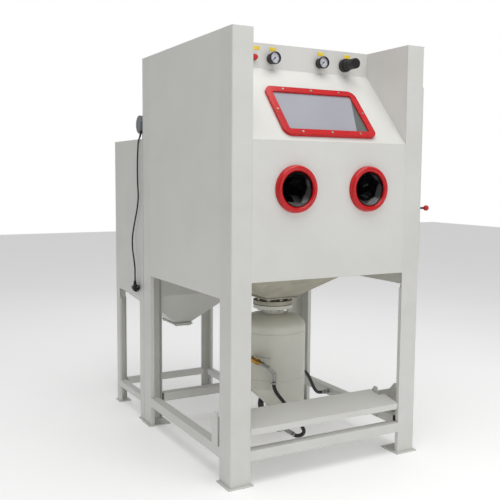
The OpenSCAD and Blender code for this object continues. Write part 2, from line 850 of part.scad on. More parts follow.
module tank_profile() {
    neck_z = tank_shoulder_z + 60;
    t = tank_wall;
    outer = concat(
        [[cone_low_r, cone_low_z - 26], [cone_low_r, cone_low_z], [cone_top_r, tank_low_z - 8],
            [tank_r - 7, tank_low_z - 2], [tank_r, tank_low_z + 6],
            [tank_r, tank_low_z + 42], [tank_r + 2, tank_low_z + 44],
            [tank_r + 2, tank_low_z + 50], [tank_r, tank_low_z + 52],
            [tank_r, tank_shoulder_z - 34], [tank_r + 2, tank_shoulder_z - 32],
            [tank_r + 2, tank_shoulder_z - 24], [tank_r, tank_shoulder_z - 22]],
        dome(tank_r, tank_shoulder_z, neck_r, neck_z, 10),
        [[neck_r, tank_flange_z], [flange_r, tank_flange_z],
            [flange_r, tank_flange_z + flange_t]]);
    inner = concat(
        [[neck_r - t, tank_flange_z + flange_t]],
        [for (k = [10 : -1 : 0]) let (a = 9 * k)
            [neck_r - t + (tank_r - neck_r) * cos(a),
                tank_shoulder_z - t + (neck_z - tank_shoulder_z) * sin(a)]],
        [[tank_r - t, tank_low_z + 4], [cone_top_r - t, tank_low_z - 2],
            [cone_low_r - t, cone_low_z + 4], [cone_low_r - t, cone_low_z - 26]]);
    polygon(concat(outer, inner));
}

module tank_shell() {
    color("silver") {
        difference() {
            rotate_extrude() tank_profile();
            flange_bolt_places() translate([0, 0, tank_flange_z - 1])
                cylinder(r = bolt_r + 0.5, h = flange_t + 2);
        }
        // Welded bosses for the outlet valve and the supply hose
        rotate([0, 0, boss_a]) translate([tank_r - 3, 0, boss_z]) rotate([0, 90, 0])
            cylinder(r = 12, h = 23);
        rotate([0, 0, supply_a]) translate([tank_r - 3, 0, supply_z]) rotate([0, 90, 0])
            cylinder(r = 12, h = 23);
        // Skirt bands that stiffen the lower edge
        for (a = [-110, 92]) rotate([0, 0, a]) rotate_extrude(angle = 100)
            translate([tank_r - 5, tank_low_z - 84]) square([4.4, 89]);
        // Guide for the pop-up valve, on a cross pipe
        difference() {
            union() {
                translate([0, 0, tank_shoulder_z - 58]) cylinder(r = 14, h = 60);
                translate([-tank_r + 2, 0, tank_shoulder_z - 44]) rotate([0, 90, 0])
                    cylinder(r = 9, h = 2 * tank_r - 4);
            }
            translate([0, 0, tank_shoulder_z - 80]) cylinder(r = 8 + run_gap, h = 100);
        }
        // Air line up to the flange
        rotate([0, 0, -23]) translate([bolt_pcd / 2, 0, tank_shoulder_z + 46])
            cylinder(r = 7, h = tank_flange_z - tank_shoulder_z - 46);
    }
}

module pop_up_valve() {
    color("dimgray") {
        translate([0, 0, tank_shoulder_z - 72]) cylinder(r = 8, h = 98);
        translate([0, 0, tank_shoulder_z + 24]) cylinder(r = 32, h = 12);
        translate([0, 0, tank_shoulder_z + 36]) cylinder(r1 = 32, r2 = 10, h = 26);
    }
}

module metering_valve() {
    z1 = cone_low_z - 26;
    color("goldenrod") difference() {
        union() {
            translate([0, 0, z1 - 54]) cylinder(r = 30, h = 54);
            translate([0, 0, z1 - 30]) rotate([-90, 0, 0]) cylinder(r = 21, h = 60);
            translate([0, 0, z1 - 30]) rotate([90, 0, 0]) cylinder(r = 14, h = 44);
        }
        translate([0, 0, z1 - 30]) cylinder(r = 16, h = 40);
        translate([0, 0, z1 - 30]) rotate([-90, 0, 0]) cylinder(r = 12, h = 70);
        translate([0, 0, z1 - 30]) rotate([90, 0, 0]) cylinder(r = 6 + run_gap, h = 60);
    }
}

module metering_knob() {
    z1 = cone_low_z - 56;
    color("black") translate([0, 0, z1]) rotate([90, 0, 0]) {
        translate([0, 0, 20]) cylinder(r = 6, h = 40);
        translate([0, 0, 44.5]) cylinder(r = 22, h = 14);
    }
}

function boss_end() = [(tank_r + 40) * cos(boss_a), (tank_r + 40) * sin(boss_a), boss_z];
function along_valve(d) = boss_end() + d * valve_dir / norm(valve_dir);

module tank_valve() {
    p = boss_end();
    color("goldenrod") difference() {
        union() {
            rotate([0, 0, boss_a]) translate([tank_r + boss_len, 0, boss_z])
                rotate([0, 90, 0]) cylinder(r = 8, h = 40 - boss_len);
            translate(p - [0, 0, 11]) cylinder(r = 11, h = 22);
            translate(p) aim(valve_dir) {
                cylinder(r = 9, h = 60);
                translate([0, 0, 14]) cylinder(r = 13, h = 12, $fn = 6);
                translate([0, 0, 26]) cylinder(r = 14, h = 18);
                translate([0, 0, 44]) cylinder(r = 13, h = 10, $fn = 6);
            }
            translate(along_valve(35)) cylinder(r = 7, h = 19);
        }
        translate(along_valve(35)) cylinder(r = 4 + run_gap, h = 30);
    }
}

module tank_valve_lever() {
    p = along_valve(35);
    color("gold") translate(p) {
        translate([0, 0, 8]) cylinder(r = 4, h = 16);
        translate([0, 0, 19.5]) rotate([0, 0, atan2(valve_dir[1], valve_dir[0])]) {
            translate([-9, -7, 0]) cube([18, 14, 3]);
            translate([8, -7, 0]) cube([62, 14, 3]);
        }
    }
}

// A straight length of pipe from a to b
module pipe_between(a, b, r) {
    translate(a) aim(b - a) cylinder(r = r, h = norm(b - a));
}

module hose_fittings() {
    nut = along_valve(60);
    knee = beside(37, air_a - 8.1, 404);
    low = air_pts[0] + [0, 0, 36];
    tail = air_pts[11];
    inlet = supply_pts[len(supply_pts) - 1];
    color("silver") {
        pipe_between(nut, along_valve(74), 12);
        pipe_between(along_valve(72), knee, 8);
        translate(knee) sphere(r = 9.5);
        pipe_between(knee, low, 8);
        translate(low) sphere(r = 9.5);
        pipe_between(air_pts[0], low, 11);
        // Tail on the foot valve
        pipe_between(tail, tail + (tail - air_pts[10]) * 1.5, 10);
        // Hose tail on the tank's lower boss
        rotate([0, 0, supply_a]) translate([tank_r + boss_len, 0, supply_z])
            rotate([0, 90, 0]) cylinder(r = 12, h = 40 - boss_len);
        // Inlet fitting on the right-hand rail
        pipe_between(inlet, [hw - rail, inlet[1], inlet[2]], 12);
    }
}

module air_hose() { color([0.1, 0.1, 0.1]) tube_along(air_pts, hose_r); }
module supply_hose() { color([0.1, 0.1, 0.1]) tube_along(supply_pts, hose_r); }
module blast_hose() { color([0.1, 0.1, 0.1]) tube_along(blast_pts, blast_r); }

module blast_nozzle() {
    p = blast_pts[19];
    color("lightgray") translate(p) rotate([90, 0, 0]) difference() {
        union() {
            cylinder(r = 24, h = 30);
            translate([0, 0, 30]) cylinder(r1 = 22, r2 = 12, h = 60);
        }
        translate([0, 0, 10]) cylinder(r = 5, h = 90);
    }
}

// ---------- dust collector ----------

module collector_panels() {
    t = dust_sheet;
    x1 = dust_x0 + dust_w;
    y1 = dust_y0 + dust_d;
    z1 = dust_h - t;
    color("gainsboro") {
        box(dust_x0, dust_x0 + t, dust_y0, y1, dust_edge_z, z1);
        box(x1 - t, x1, dust_y0, y1, dust_edge_z, z1);
        box(dust_x0 + t, x1 - t, y1 - t, y1, dust_edge_z, z1);
        difference() {
            box(dust_x0 + t, x1 - t, dust_y0, dust_y0 + t, dust_edge_z, z1);
            translate([duct_x, dust_y0 + t + 1, duct_z]) rotate([90, 0, 0])
                cylinder(r = duct_r + run_gap, h = t + 2);
        }
        difference() {
            box(dust_x0, x1, dust_y0, y1, z1, dust_h);
            translate([motor_x0 + motor_len + scroll_w / 2, motor_y, z1 - 1])
                cylinder(r = 40, h = t + 2);
        }
        // Sheet that carries the filter cartridges
        difference() {
            box(dust_x0 + t, x1 - t, dust_y0 + t, y1 - t, tube_sheet_z, tube_sheet_z + t);
            filter_places() translate([0, 0, tube_sheet_z - 1]) cylinder(r = 50, h = t + 2);
        }
        // Suction collar between the cabinet and the collector
        translate([duct_x, dust_y0 + 18, duct_z]) rotate([90, 0, 0]) difference() {
            union() {
                cylinder(r = duct_r, h = 34);
                translate([0, 0, 18]) cylinder(r = duct_r + 20, h = dust_y0 - hd);
            }
            translate([0, 0, -1]) cylinder(r = duct_r - 2, h = 36);
        }
    }
}

module collector_frame() {
    y1 = dust_y0 + dust_d;
    z1 = dust_rail_z + dust_rail;
    color("gainsboro") {
        for (mx = [0, 1], my = [0, 1])
            translate([dust_cx, dust_cy, 0]) mirror([mx, 0, 0]) mirror([0, my, 0])
                translate([-dust_w / 2, -dust_d / 2, 0]) {
                    translate([0, 0, foot_t]) linear_extrude(dust_lip_z - foot_t)
                        leg_section(dust_leg, dust_leg, 3, 12, 4);
                    translate([0, 0, dust_lip_z]) linear_extrude(dust_edge_z - dust_lip_z)
                        leg_section(dust_leg, dust_leg, 3, 0, 4);
                    difference() {
                        over = my == 0 ? 0 : 8;
                        translate([-8, -over, 0]) cube([dust_leg + 16, dust_leg + 8 + over,
                            foot_t]);
                        translate([35, 35, -1]) cylinder(r = 5, h = foot_t + 2);
                    }
                }
        for (y = [dust_y0, y1 - dust_rail])
            box(dust_x0 + dust_leg, dust_x0 + dust_w - dust_leg, y, y + dust_rail,
                dust_rail_z, z1);
        for (x = [dust_x0, dust_x0 + dust_w - dust_rail])
            box(x, x + dust_rail, dust_y0 + dust_leg, y1 - dust_leg, dust_rail_z, z1);
    }
}

// Dust hopper: four walls from the collector's lower edge to an off-centre outlet
module collector_hopper() {
    t = 3;
    x0 = dust_x0 + dust_sheet;
    x1 = dust_x0 + dust_w - dust_sheet;
    y0 = dust_y0 + dust_sheet;
    y1 = dust_y0 + dust_d - dust_sheet;
    ox = dust_out_w / 2;
    oy = dust_out_d / 2;
    top = dust_edge_z + 12;
    function rim(i, z, x0, x1, y0, y1) = [[x0, y0, z], [x1, y0, z], [x1, y1, z], [x0, y1, z]][i];
    color("darkgray") {
        difference() {
            polyhedron(
                points = concat(
                    [for (i = [0 : 3]) rim(i, top, x0, x1, y0, y1)],
                    [for (i = [0 : 3]) rim(i, dust_out_z, dust_out_x - ox, dust_out_x + ox,
                        dust_out_y - oy, dust_out_y + oy)]),
                faces = [[3, 2, 1, 0], [4, 5, 6, 7], [0, 1, 5, 4], [1, 2, 6, 5], [2, 3, 7, 6],
                    [3, 0, 4, 7]]);
            polyhedron(
                points = concat(
                    [for (i = [0 : 3]) rim(i, top + 0.1, x0 + t, x1 - t, y0 + t, y1 - t)],
                    [for (i = [0 : 3]) rim(i, dust_out_z - 0.1, dust_out_x - ox + t,
                        dust_out_x + ox - t, dust_out_y - oy + t, dust_out_y + oy - t)]),
                faces = [[3, 2, 1, 0], [4, 5, 6, 7], [0, 1, 5, 4], [1, 2, 6, 5], [2, 3, 7, 6],
                    [3, 0, 4, 7]]);
        }
        // Outlet flange
        difference() {
            box(dust_out_x - ox - 8, dust_out_x + ox + 8, dust_out_y - oy - 10,
                dust_out_y + oy + 10, dust_out_z - 4, dust_out_z);
            box(dust_out_x - ox + t, dust_out_x + ox - t, dust_out_y - oy + t,
                dust_out_y + oy - t, dust_out_z - 5, dust_out_z + 1);
        }
        // Runners for the gate
        for (s = [-1, 1]) translate([dust_out_x, dust_out_y + s * (oy + 7), dust_out_z]) {
            box(-ox, ox, -3, 3, -12, -4);
            box(-ox, ox, s > 0 ? -11 : -3, s > 0 ? 3 : 11, -15, -12);
        }
    }
}

module dust_gate() {
    ox = dust_out_w / 2;
    oy = dust_out_d / 2;
    color("silver") translate([dust_out_x, dust_out_y, dust_out_z]) {
        box(-ox, ox + 14, -oy - 3, oy + 3, -11.5, -8.5);
        box(ox + 11, ox + 14, -30, 30, -34, -8.5);
    }
}

module filter_places() {
    for (s = [-1, 1]) translate([dust_cx + s * 140, dust_cy + 60, 0]) children();
}

module filter_cartridges() {
    color("beige") filter_places() difference() {
        union() {
            translate([0, 0, tube_sheet_z - 560]) cylinder(r = 80, h = 560);
            translate([0, 0, tube_sheet_z - 20]) cylinder(r = 90, h = 20);
        }
        translate([0, 0, tube_sheet_z - 550]) cylinder(r = 50, h = 560);
    }
}

// Fan on the collector's roof: motor, terminal box with gland, scroll and outlet collar
module suction_fan() {
    sx = motor_x0 + motor_len;
    color("slategray") {
        difference() {
            union() {
                translate([motor_x0, motor_y, motor_z]) rotate([0, 90, 0]) {
                    cylinder(r = motor_r - 4, h = motor_len);
                    cylinder(r = motor_r, h = 14);
                    for (k = [0 : 23]) rotate([0, 0, 15 * k])
                        translate([motor_r - 6.5, -1.2, 8]) cube([6, 2.4, motor_len - 22]);
                }
                box(motor_x0 + 30, sx, motor_y - 34, motor_y + 34, dust_h,
                    motor_z - motor_r + 10);
                box(dust_x0, motor_x0, motor_y - 71, motor_y - 31, motor_z - 32, motor_z + 8);
            }
            translate([sx - 40, motor_y, motor_z]) rotate([0, 90, 0])
                cylinder(r = 8 + run_gap, h = 60);
        }
        difference() {
            union() {
                translate([sx, motor_y, motor_z]) rotate([0, 90, 0])
                    cylinder(r = scroll_r, h = scroll_w);
                box(sx, sx + scroll_w, motor_y - 45, motor_y + 45, dust_h, motor_z);
                translate([sx + scroll_w / 2, motor_y + 32, motor_z])
                    cylinder(r = 40, h = scroll_r + 40);
            }
            translate([sx + 4, motor_y, motor_z]) rotate([0, 90, 0])
                cylinder(r = scroll_r - 4, h = scroll_w - 8);
            translate([sx + scroll_w / 2, motor_y, dust_h - 1])
                cylinder(r = 38, h = motor_z - dust_h);
            translate([sx + scroll_w / 2, motor_y + 32, motor_z])
                cylinder(r = 36, h = scroll_r + 50);
            translate([sx + scroll_w / 2, motor_y + 32, motor_z + scroll_r])
                cylinder(r = 37, h = 50);
            translate([sx - 1, motor_y, motor_z]) rotate([0, 90, 0])
                cylinder(r = 8 + run_gap, h = 20);
        }
        // Cable gland
        translate([dust_x0 + 8, motor_y - 57, motor_z - 36]) cylinder(r = 7, h = 5);
    }
}

module fan_wheel() {
    sx = motor_x0 + motor_len;
    color("dimgray") translate([sx, motor_y, motor_z]) rotate([0, 90, 0]) {
        translate([0, 0, -30]) cylinder(r = 8, h = 60);
        translate([0, 0, 18]) cylinder(r = wheel_r, h = 3);
        for (k = [0 : 7]) rotate([0, 0, 45 * k]) translate([20, -1.5, 19])
            cube([wheel_r - 22, 3, 42]);
    }
}

module power_cord() { color("black") tube_along(cord_pts, cord_r); }

// Angled mains plug hanging on the lead, pins towards the operator's side
module power_plug() {
    p = cord_pts[16];
    color("black") translate(p) {
        translate([0, 0, -24]) cylinder(r1 = 11, r2 = 5.5, h = 24);
        translate([0, 30, -40]) rotate([90, 0, 0]) {
            cylinder(r1 = 12, r2 = 17, h = 26);
            translate([0, 0, 26]) cylinder(r = 19, h = 28);
        }
    }
    color("silver") translate(p) for (s = [-1, 1])
        translate([0, -24, -40 + 9.5 * s]) rotate([90, 0, 0]) cylinder(r = 2.4, h = 19);
}

left_side_panel();
right_side_frame();
front_panel();
window_panel();
control_panel();
roof_panel();
back_panel();
wing_cheeks();
leg_front_left();
leg_front_right();
rear_legs();
foot_plates();
bottom_rails();
hopper();
hopper_outlet();
work_grate();
side_door();
seals();
door_hinge_pins();
door_handle();
window_frame();
window_glass();
window_screws();
glove_ring_left();
glove_ring_right();
glove_left();
glove_right();
push_button_collar();
push_button_cap();
gauge_cases();
gauge_lenses();
gauge_needle_left();
gauge_needle_right();
regulator_body();
regulator_knob();
treadle();
treadle_brackets();
foot_valve();
foot_valve_plunger();
tank_shell();
flange_bolts();
pop_up_valve();
metering_valve();
metering_knob();
tank_valve();
tank_valve_lever();
hose_fittings();
air_hose();
supply_hose();
blast_hose();
blast_nozzle();
collector_panels();
collector_frame();
collector_hopper();
dust_gate();
filter_cartridges();
suction_fan();
fan_wheel();
power_cord();
power_plug();
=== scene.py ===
"""Looks for a sandblast cabinet: finishes, rubber parts, dials, labels and a studio stage."""

import json
import math

import bmesh
import bpy
from mathutils import Matrix, Vector, noise


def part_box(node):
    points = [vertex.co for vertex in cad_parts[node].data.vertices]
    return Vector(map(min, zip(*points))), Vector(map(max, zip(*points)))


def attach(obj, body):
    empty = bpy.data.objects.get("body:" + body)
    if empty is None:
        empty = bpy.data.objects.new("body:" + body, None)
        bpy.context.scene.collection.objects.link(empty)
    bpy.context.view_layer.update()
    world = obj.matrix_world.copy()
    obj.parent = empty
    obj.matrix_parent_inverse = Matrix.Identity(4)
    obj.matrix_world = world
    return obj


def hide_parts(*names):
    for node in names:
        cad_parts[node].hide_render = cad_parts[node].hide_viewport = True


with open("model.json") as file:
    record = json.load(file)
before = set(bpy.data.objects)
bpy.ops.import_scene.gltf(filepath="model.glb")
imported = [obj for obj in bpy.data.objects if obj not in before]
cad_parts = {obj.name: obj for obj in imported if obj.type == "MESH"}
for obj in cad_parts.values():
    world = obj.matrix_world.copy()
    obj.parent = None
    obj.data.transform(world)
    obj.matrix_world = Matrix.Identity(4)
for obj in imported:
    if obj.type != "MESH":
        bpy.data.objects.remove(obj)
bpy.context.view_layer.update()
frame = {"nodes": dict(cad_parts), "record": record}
NODES = frame["nodes"]
MM = 0.001

bl_info = {
    "name": "Sandblast cabinet finishes",
    "version": (1, 0, 0),
    "blender": (4, 5, 0),
    "location": "View3D > Sidebar > Cabinet",
    "description": "Finishes and soft parts for a sandblast cabinet with a dust collector",
    "category": "Object",
}

# Routes of the lead and the hoses, in millimetres in the cabinet's frame.
LEAD = [
    (-492, 549, 1556), (-492, 549, 1545), (-498, 545, 1526), (-508, 540, 1506),
    (-511, 541, 1478), (-512, 545, 1435), (-513, 548, 1364), (-514, 543, 1280),
    (-515, 533, 1214), (-516, 547, 1150), (-518, 585, 1067), (-520, 613, 990),
    (-521, 609, 925), (-522, 585, 870), (-522, 573, 825), (-522, 572, 788),
    (-522, 572, 760),
]
AIR_HOSE = [
    (-92, -176, 338), (-92, -176, 310), (-82, -184, 280), (-62, -200, 248),
    (-44, -226, 216), (-32, -260, 184), (-26, -298, 159), (-30, -338, 146),
    (-50, -378, 141), (-80, -401, 139), (-109.5, -405, 142.5), (-136, -405, 160),
]
SUPPLY_HOSE = [
    (193.8, 66.7, 300), (220.3, 75.9, 300), (254.3, 87.6, 284), (288.4, 99.3, 250),
    (320, 114, 204), (350, 130, 162), (378, 144, 138), (402, 150, 130), (425, 150, 130),
]
BLAST_HOSE = [
    (0, 60, 108), (0, 92, 108), (26, 158, 120), (72, 206, 176), (96, 226, 270),
    (100, 230, 380), (100, 230, 500), (100, 230, 620), (100, 230, 740),
    (100, 230, 860), (100, 230, 960), (100, 228, 1060), (100, 206, 1130),
    (100, 150, 1176), (100, 84, 1172), (100, 32, 1132), (100, -10, 1090),
    (100, -60, 1062), (100, -120, 1051), (100, -160, 1051),
]
LEAD_DIAMETER = 8 * MM
HOSE_DIAMETER = 18 * MM
BLAST_DIAMETER = 32 * MM



def middle(node):
    """Centre of a frame node's box."""
    low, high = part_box(node)
    return (low + high) / 2


# Places read from the frame: the front panel, the ports, the control panel and the gauges.
FRONT_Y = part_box("front_panel")[0].y
PORT_X = middle("glove_right").x
PORT_Z = middle("glove_ring_right").z
PANEL_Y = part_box("control_panel")[0].y
GAUGE_DEPTH = PANEL_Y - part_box("gauge_cases")[0].y
PIVOTS = [joint["pos_m"] for joint in frame["record"]["behaviour"]["joints"]
          if joint["name"].startswith("needle_")]
CONTROLS_Z = PIVOTS[0][2]
GAUGE_R = 0.027
DIAL_DEPTH = 0.009
DIAL_SWEEP = 270
TICKS = 25
KNOB_START_X = 0.5785
LIMB_SIDES = 120
PLUG_DROP = 0.040
PIN_OFFSET = 0.0095
FLOOR_HALF = 14.0

# Camera: place in metres, turns in radians, shift as a share of the sensor.
CAMERA_PLACE = (-1.8846, -3.1718, 1.3143)
CAMERA_YAW = 0.5002
CAMERA_PITCH = -0.0976
CAMERA_ROLL = 0.0068
CAMERA_SHIFT = 0.0063
SENSOR_WIDTH = 36.0
AMBIENT = 0.43

# Painted dark corner on the window glass, a painted reflection of the shaded cheek and the dark
# inside: it starts where X less its lean times Z passes the edge.
DARK_CORNER_LEAN = 0.41
DARK_CORNER_EDGE = (-0.4735, -0.4705)
# Corners of each glove's folded mouth: degrees round the port, millimetres from its centre.
GLOVE_FOLDS = {
    -1: [(8, 62), (50, 72), (98, 71), (150, 72), (200, 71), (232, 68), (292, 66), (335, 56)],
    1: [(25, 70), (80, 72), (130, 71), (175, 69), (215, 66), (268, 64), (322, 58)],
}
LABELS = ((-0.223, 1.896), (-0.136, 1.897), (0.127, 1.897), (0.281, 1.896))


def linear(hex_text):
    """An sRGB hex colour as linear red, green and blue."""
    out = []
    for i in (0, 2, 4):
        c = int(hex_text[i : i + 2], 16) / 255
        out.append(c / 12.92 if c <= 0.04045 else ((c + 0.055) / 1.055) ** 2.4)
    return tuple(out)


def metres(points):
    return [Vector(p) * MM for p in points]


# ---------- sizes and colours a user would change ----------


class CabinetSizes(bpy.types.PropertyGroup):
    """Sizes of the looks that are not set by the frame."""

    label_width: bpy.props.FloatProperty(
        name="Label width", description="Width of each yellow label", default=0.036, unit="LENGTH"
    )
    label_height: bpy.props.FloatProperty(
        name="Label height", description="Height of each yellow label", default=0.017, unit="LENGTH"
    )
    glove_wrinkle: bpy.props.FloatProperty(
        name="Glove folds", description="How deep the gloves' folds are", default=0.022,
        unit="LENGTH",
    )
    seam_bead: bpy.props.FloatProperty(
        name="Weld bead", description="Width of the weld beads", default=0.005, unit="LENGTH"
    )


class CabinetColours(bpy.types.PropertyGroup):
    """Colours of the main finishes, in linear light."""

    paint: bpy.props.FloatVectorProperty(
        name="Paint", description="Powder coat on the cabinet", subtype="COLOR",
        default=linear("DADAD6"), min=0, max=1,
    )
    red: bpy.props.FloatVectorProperty(
        name="Red", description="Window frame, port rings and knobs", subtype="COLOR",
        default=linear("C80C14"), min=0, max=1,
    )
    rubber: bpy.props.FloatVectorProperty(
        name="Rubber", description="Gloves and hoses", subtype="COLOR",
        default=linear("131314"), min=0, max=1,
    )
    label: bpy.props.FloatVectorProperty(
        name="Label", description="Blank labels on the control panel", subtype="COLOR",
        default=linear("E2C63A"), min=0, max=1,
    )


class StageSettings(bpy.types.PropertyGroup):
    """Camera and light."""

    lens: bpy.props.FloatProperty(
        name="Lens", description="Focal length in millimetres", default=53.21
    )
    key_power: bpy.props.FloatProperty(
        name="Key light", description="Power of the overhead soft light", default=95.0, unit="POWER"
    )
    fill_power: bpy.props.FloatProperty(
        name="Fill light", description="Power of the front fill", default=14.0, unit="POWER"
    )


# ---------- materials ----------


def add_node(tree, kind, inputs=None, **settings):
    """Adds a node, sets its properties, and fills or links its inputs."""
    node = tree.nodes.new(kind)
    for name, value in settings.items():
        setattr(node, name, value)
    for socket, value in (inputs or {}).items():
        target = node.inputs[socket]
        if isinstance(value, bpy.types.NodeSocket):
            tree.links.new(value, target)
        else:
            target.default_value = value
    return node


def start_material(name):
    material = bpy.data.materials.new(name)
    material.use_nodes = True
    material.node_tree.nodes.clear()
    return material, material.node_tree


def end_material(tree, inputs):
    shader = add_node(tree, "ShaderNodeBsdfPrincipled", inputs)
    add_node(tree, "ShaderNodeOutputMaterial", {"Surface": shader.outputs["BSDF"]})


def per_mm(size_mm):
    """Texture scale whose features are about size_mm across."""
    return 1.0 / (size_mm * MM)


def place_of(tree):
    return add_node(tree, "ShaderNodeTexCoord").outputs["Object"]


def mixed(tree, factor, colour_a, colour_b):
    """Blend of two colours, each a linear triple or another node's output."""
    mix = add_node(tree, "ShaderNodeMix", {"Factor": factor}, data_type="RGBA")
    colour_inputs = [socket for socket in mix.inputs if socket.type == "RGBA"]
    for socket, colour in zip(colour_inputs, (colour_a, colour_b)):
        if isinstance(colour, bpy.types.NodeSocket):
            tree.links.new(colour, socket)
        else:
            socket.default_value = (*colour, 1.0)
    return next(socket for socket in mix.outputs if socket.type == "RGBA")


def mottled(tree, where, size_mm, colour_a, colour_b, detail=3.0):
    """Colour that drifts between two close tones."""
    blotch = add_node(tree, "ShaderNodeTexNoise", {"Vector": where, "Scale": per_mm(size_mm),
                                                   "Detail": detail, "Roughness": 0.55})
    blend = add_node(tree, "ShaderNodeMapRange", {"Value": blotch.outputs["Fac"], "From Min": 0.35,
                                                  "From Max": 0.65})
    return mixed(tree, blend.outputs["Result"], colour_a, colour_b)


def rounded_edges(tree, radius_mm):
    """Edges catch the light as if they were rounded to this radius."""
    bevel = add_node(tree, "ShaderNodeBevel", {"Radius": radius_mm * MM}, samples=4)
    return bevel.outputs["Normal"]


def grain(tree, where, size_mm, height_mm, strength, normal=None, detail=2.0):
    texture = add_node(tree, "ShaderNodeTexNoise", {"Vector": where, "Scale": per_mm(size_mm),
                                                    "Detail": detail})
    inputs = {"Height": texture.outputs["Fac"], "Distance": height_mm * MM, "Strength": strength}
    if normal is not None:
        inputs["Normal"] = normal
    return add_node(tree, "ShaderNodeBump", inputs).outputs["Normal"]


def scaled(colour, k):
    return tuple(min(1.0, c * k) for c in colour)


def powder_coat(name, colour, dirt=0.965, rough=0.42, edge_mm=1.5, peel=0.12):
    """Powder coat on sheet steel: satin skin, faint orange peel, cream drifts, soft folds."""
    material, tree = start_material(name)
    where = place_of(tree)
    worn = (colour[0] * dirt, colour[1] * dirt * 0.997, colour[2] * dirt * 0.988)
    base = mottled(tree, where, 220, colour, worn)
    normal = grain(tree, where, 3.0, 0.15, peel, rounded_edges(tree, edge_mm))
    end_material(tree, {"Base Color": base, "Roughness": rough, "Normal": normal, "IOR": 1.5,
                        "Specular IOR Level": 0.45})
    return material


def grit_worn_steel(name, colour):
    """Steel sheet scoured by grit: dull grey-green with a sandy bloom."""
    material, tree = start_material(name)
    where = place_of(tree)
    base = mottled(tree, where, 60, colour, scaled(colour, 0.8), 6.0)
    normal = grain(tree, where, 1.6, 0.3, 0.35, rounded_edges(tree, 1.0), 5.0)
    end_material(tree, {"Base Color": base, "Roughness": 0.7, "Normal": normal})
    return material


def moulded_gloss(name, colour, rough=0.2, edge_mm=4.0, flow_mm=60):
    """Injection-moulded plastic: deep colour, glossy skin, faint flow ripples, rounded edges."""
    material, tree = start_material(name)
    where = place_of(tree)
    base = mottled(tree, where, flow_mm, colour, scaled(colour, 0.88))
    normal = grain(tree, where, 14, 0.25, 0.18, rounded_edges(tree, edge_mm))
    end_material(tree, {"Base Color": base, "Roughness": rough, "Normal": normal, "IOR": 1.52,
                        "Specular IOR Level": 0.35, "Coat Weight": 0.12,
                        "Coat Roughness": 0.12})
    return material


def moulded_matt(name, colour, rough=0.5, edge_mm=1.2):
    """ABS with a fine spark-eroded texture: even colour, broken highlight."""
    material, tree = start_material(name)
    where = place_of(tree)
    base = mottled(tree, where, 20, colour, scaled(colour, 1.25))
    normal = grain(tree, where, 0.8, 0.08, 0.3, rounded_edges(tree, edge_mm))
    end_material(tree, {"Base Color": base, "Roughness": rough, "Normal": normal, "IOR": 1.5})
    return material


def extruded_rubber(name, colour, rough=0.48, bloom=1.6):
    """Black rubber with a faint grey bloom and fine drawn skin."""
    material, tree = start_material(name)
    where = place_of(tree)
    base = mottled(tree, where, 18, colour, scaled(colour, bloom), 5.0)
    normal = grain(tree, where, 2.2, 0.12, 0.3)
    end_material(tree, {"Base Color": base, "Roughness": rough, "Normal": normal, "IOR": 1.52,
                        "Sheen Weight": 0.08, "Sheen Roughness": 0.4})
    return material


def dipped_glove_rubber(name, colour):
    """Dipped rubber glove: shiny black skin with creases, and lighter grey painted on what faces
    up, a painted highlight along with grey grit.
    """
    material, tree = start_material(name)
    where = place_of(tree)
    skin = mottled(tree, where, 25, colour, scaled(colour, 1.5), 4.0)
    # What faces up is painted lighter grey: a painted highlight on folds that catch the overhead
    # light, along with grey grit.
    facing = add_node(tree, "ShaderNodeNewGeometry").outputs["Normal"]
    up = add_node(tree, "ShaderNodeSeparateXYZ", {"Vector": facing}).outputs["Z"]
    grit_and_painted_highlight = add_node(tree, "ShaderNodeMapRange", {"Value": up, "From Min": 0.45,
                                                    "From Max": 0.95, "To Max": 0.85})
    # Light grey mixed in on up-facing skin: painted highlight and grit.
    base = mixed(tree, grit_and_painted_highlight.outputs["Result"], skin, linear("7E7A78"))
    normal = grain(tree, where, 9.0, 1.4, 0.55, None, 4.0)
    end_material(tree, {"Base Color": base, "Roughness": 0.33, "Normal": normal, "IOR": 1.52,
                        "Coat Weight": 0.25, "Coat Roughness": 0.25})
    return material


def plated_metal(name, colour, rough=0.32, edge_mm=0.6):
    """Zinc or nickel plate: bright with a slight haze and fine scratches."""
    material, tree = start_material(name)
    where = place_of(tree)
    base = mottled(tree, where, 12, colour, scaled(colour, 0.82), 5.0)
    haze = add_node(tree, "ShaderNodeTexNoise", {"Vector": where, "Scale": per_mm(7),
                                                 "Detail": 4.0})
    dull = add_node(tree, "ShaderNodeMapRange", {"Value": haze.outputs["Fac"],
                                                 "To Min": rough - 0.08, "To Max": rough + 0.12})
    normal = grain(tree, where, 1.5, 0.05, 0.2, rounded_edges(tree, edge_mm))
    end_material(tree, {"Base Color": base, "Metallic": 1.0, "Roughness": dull.outputs["Result"],
                        "Normal": normal})
    return material


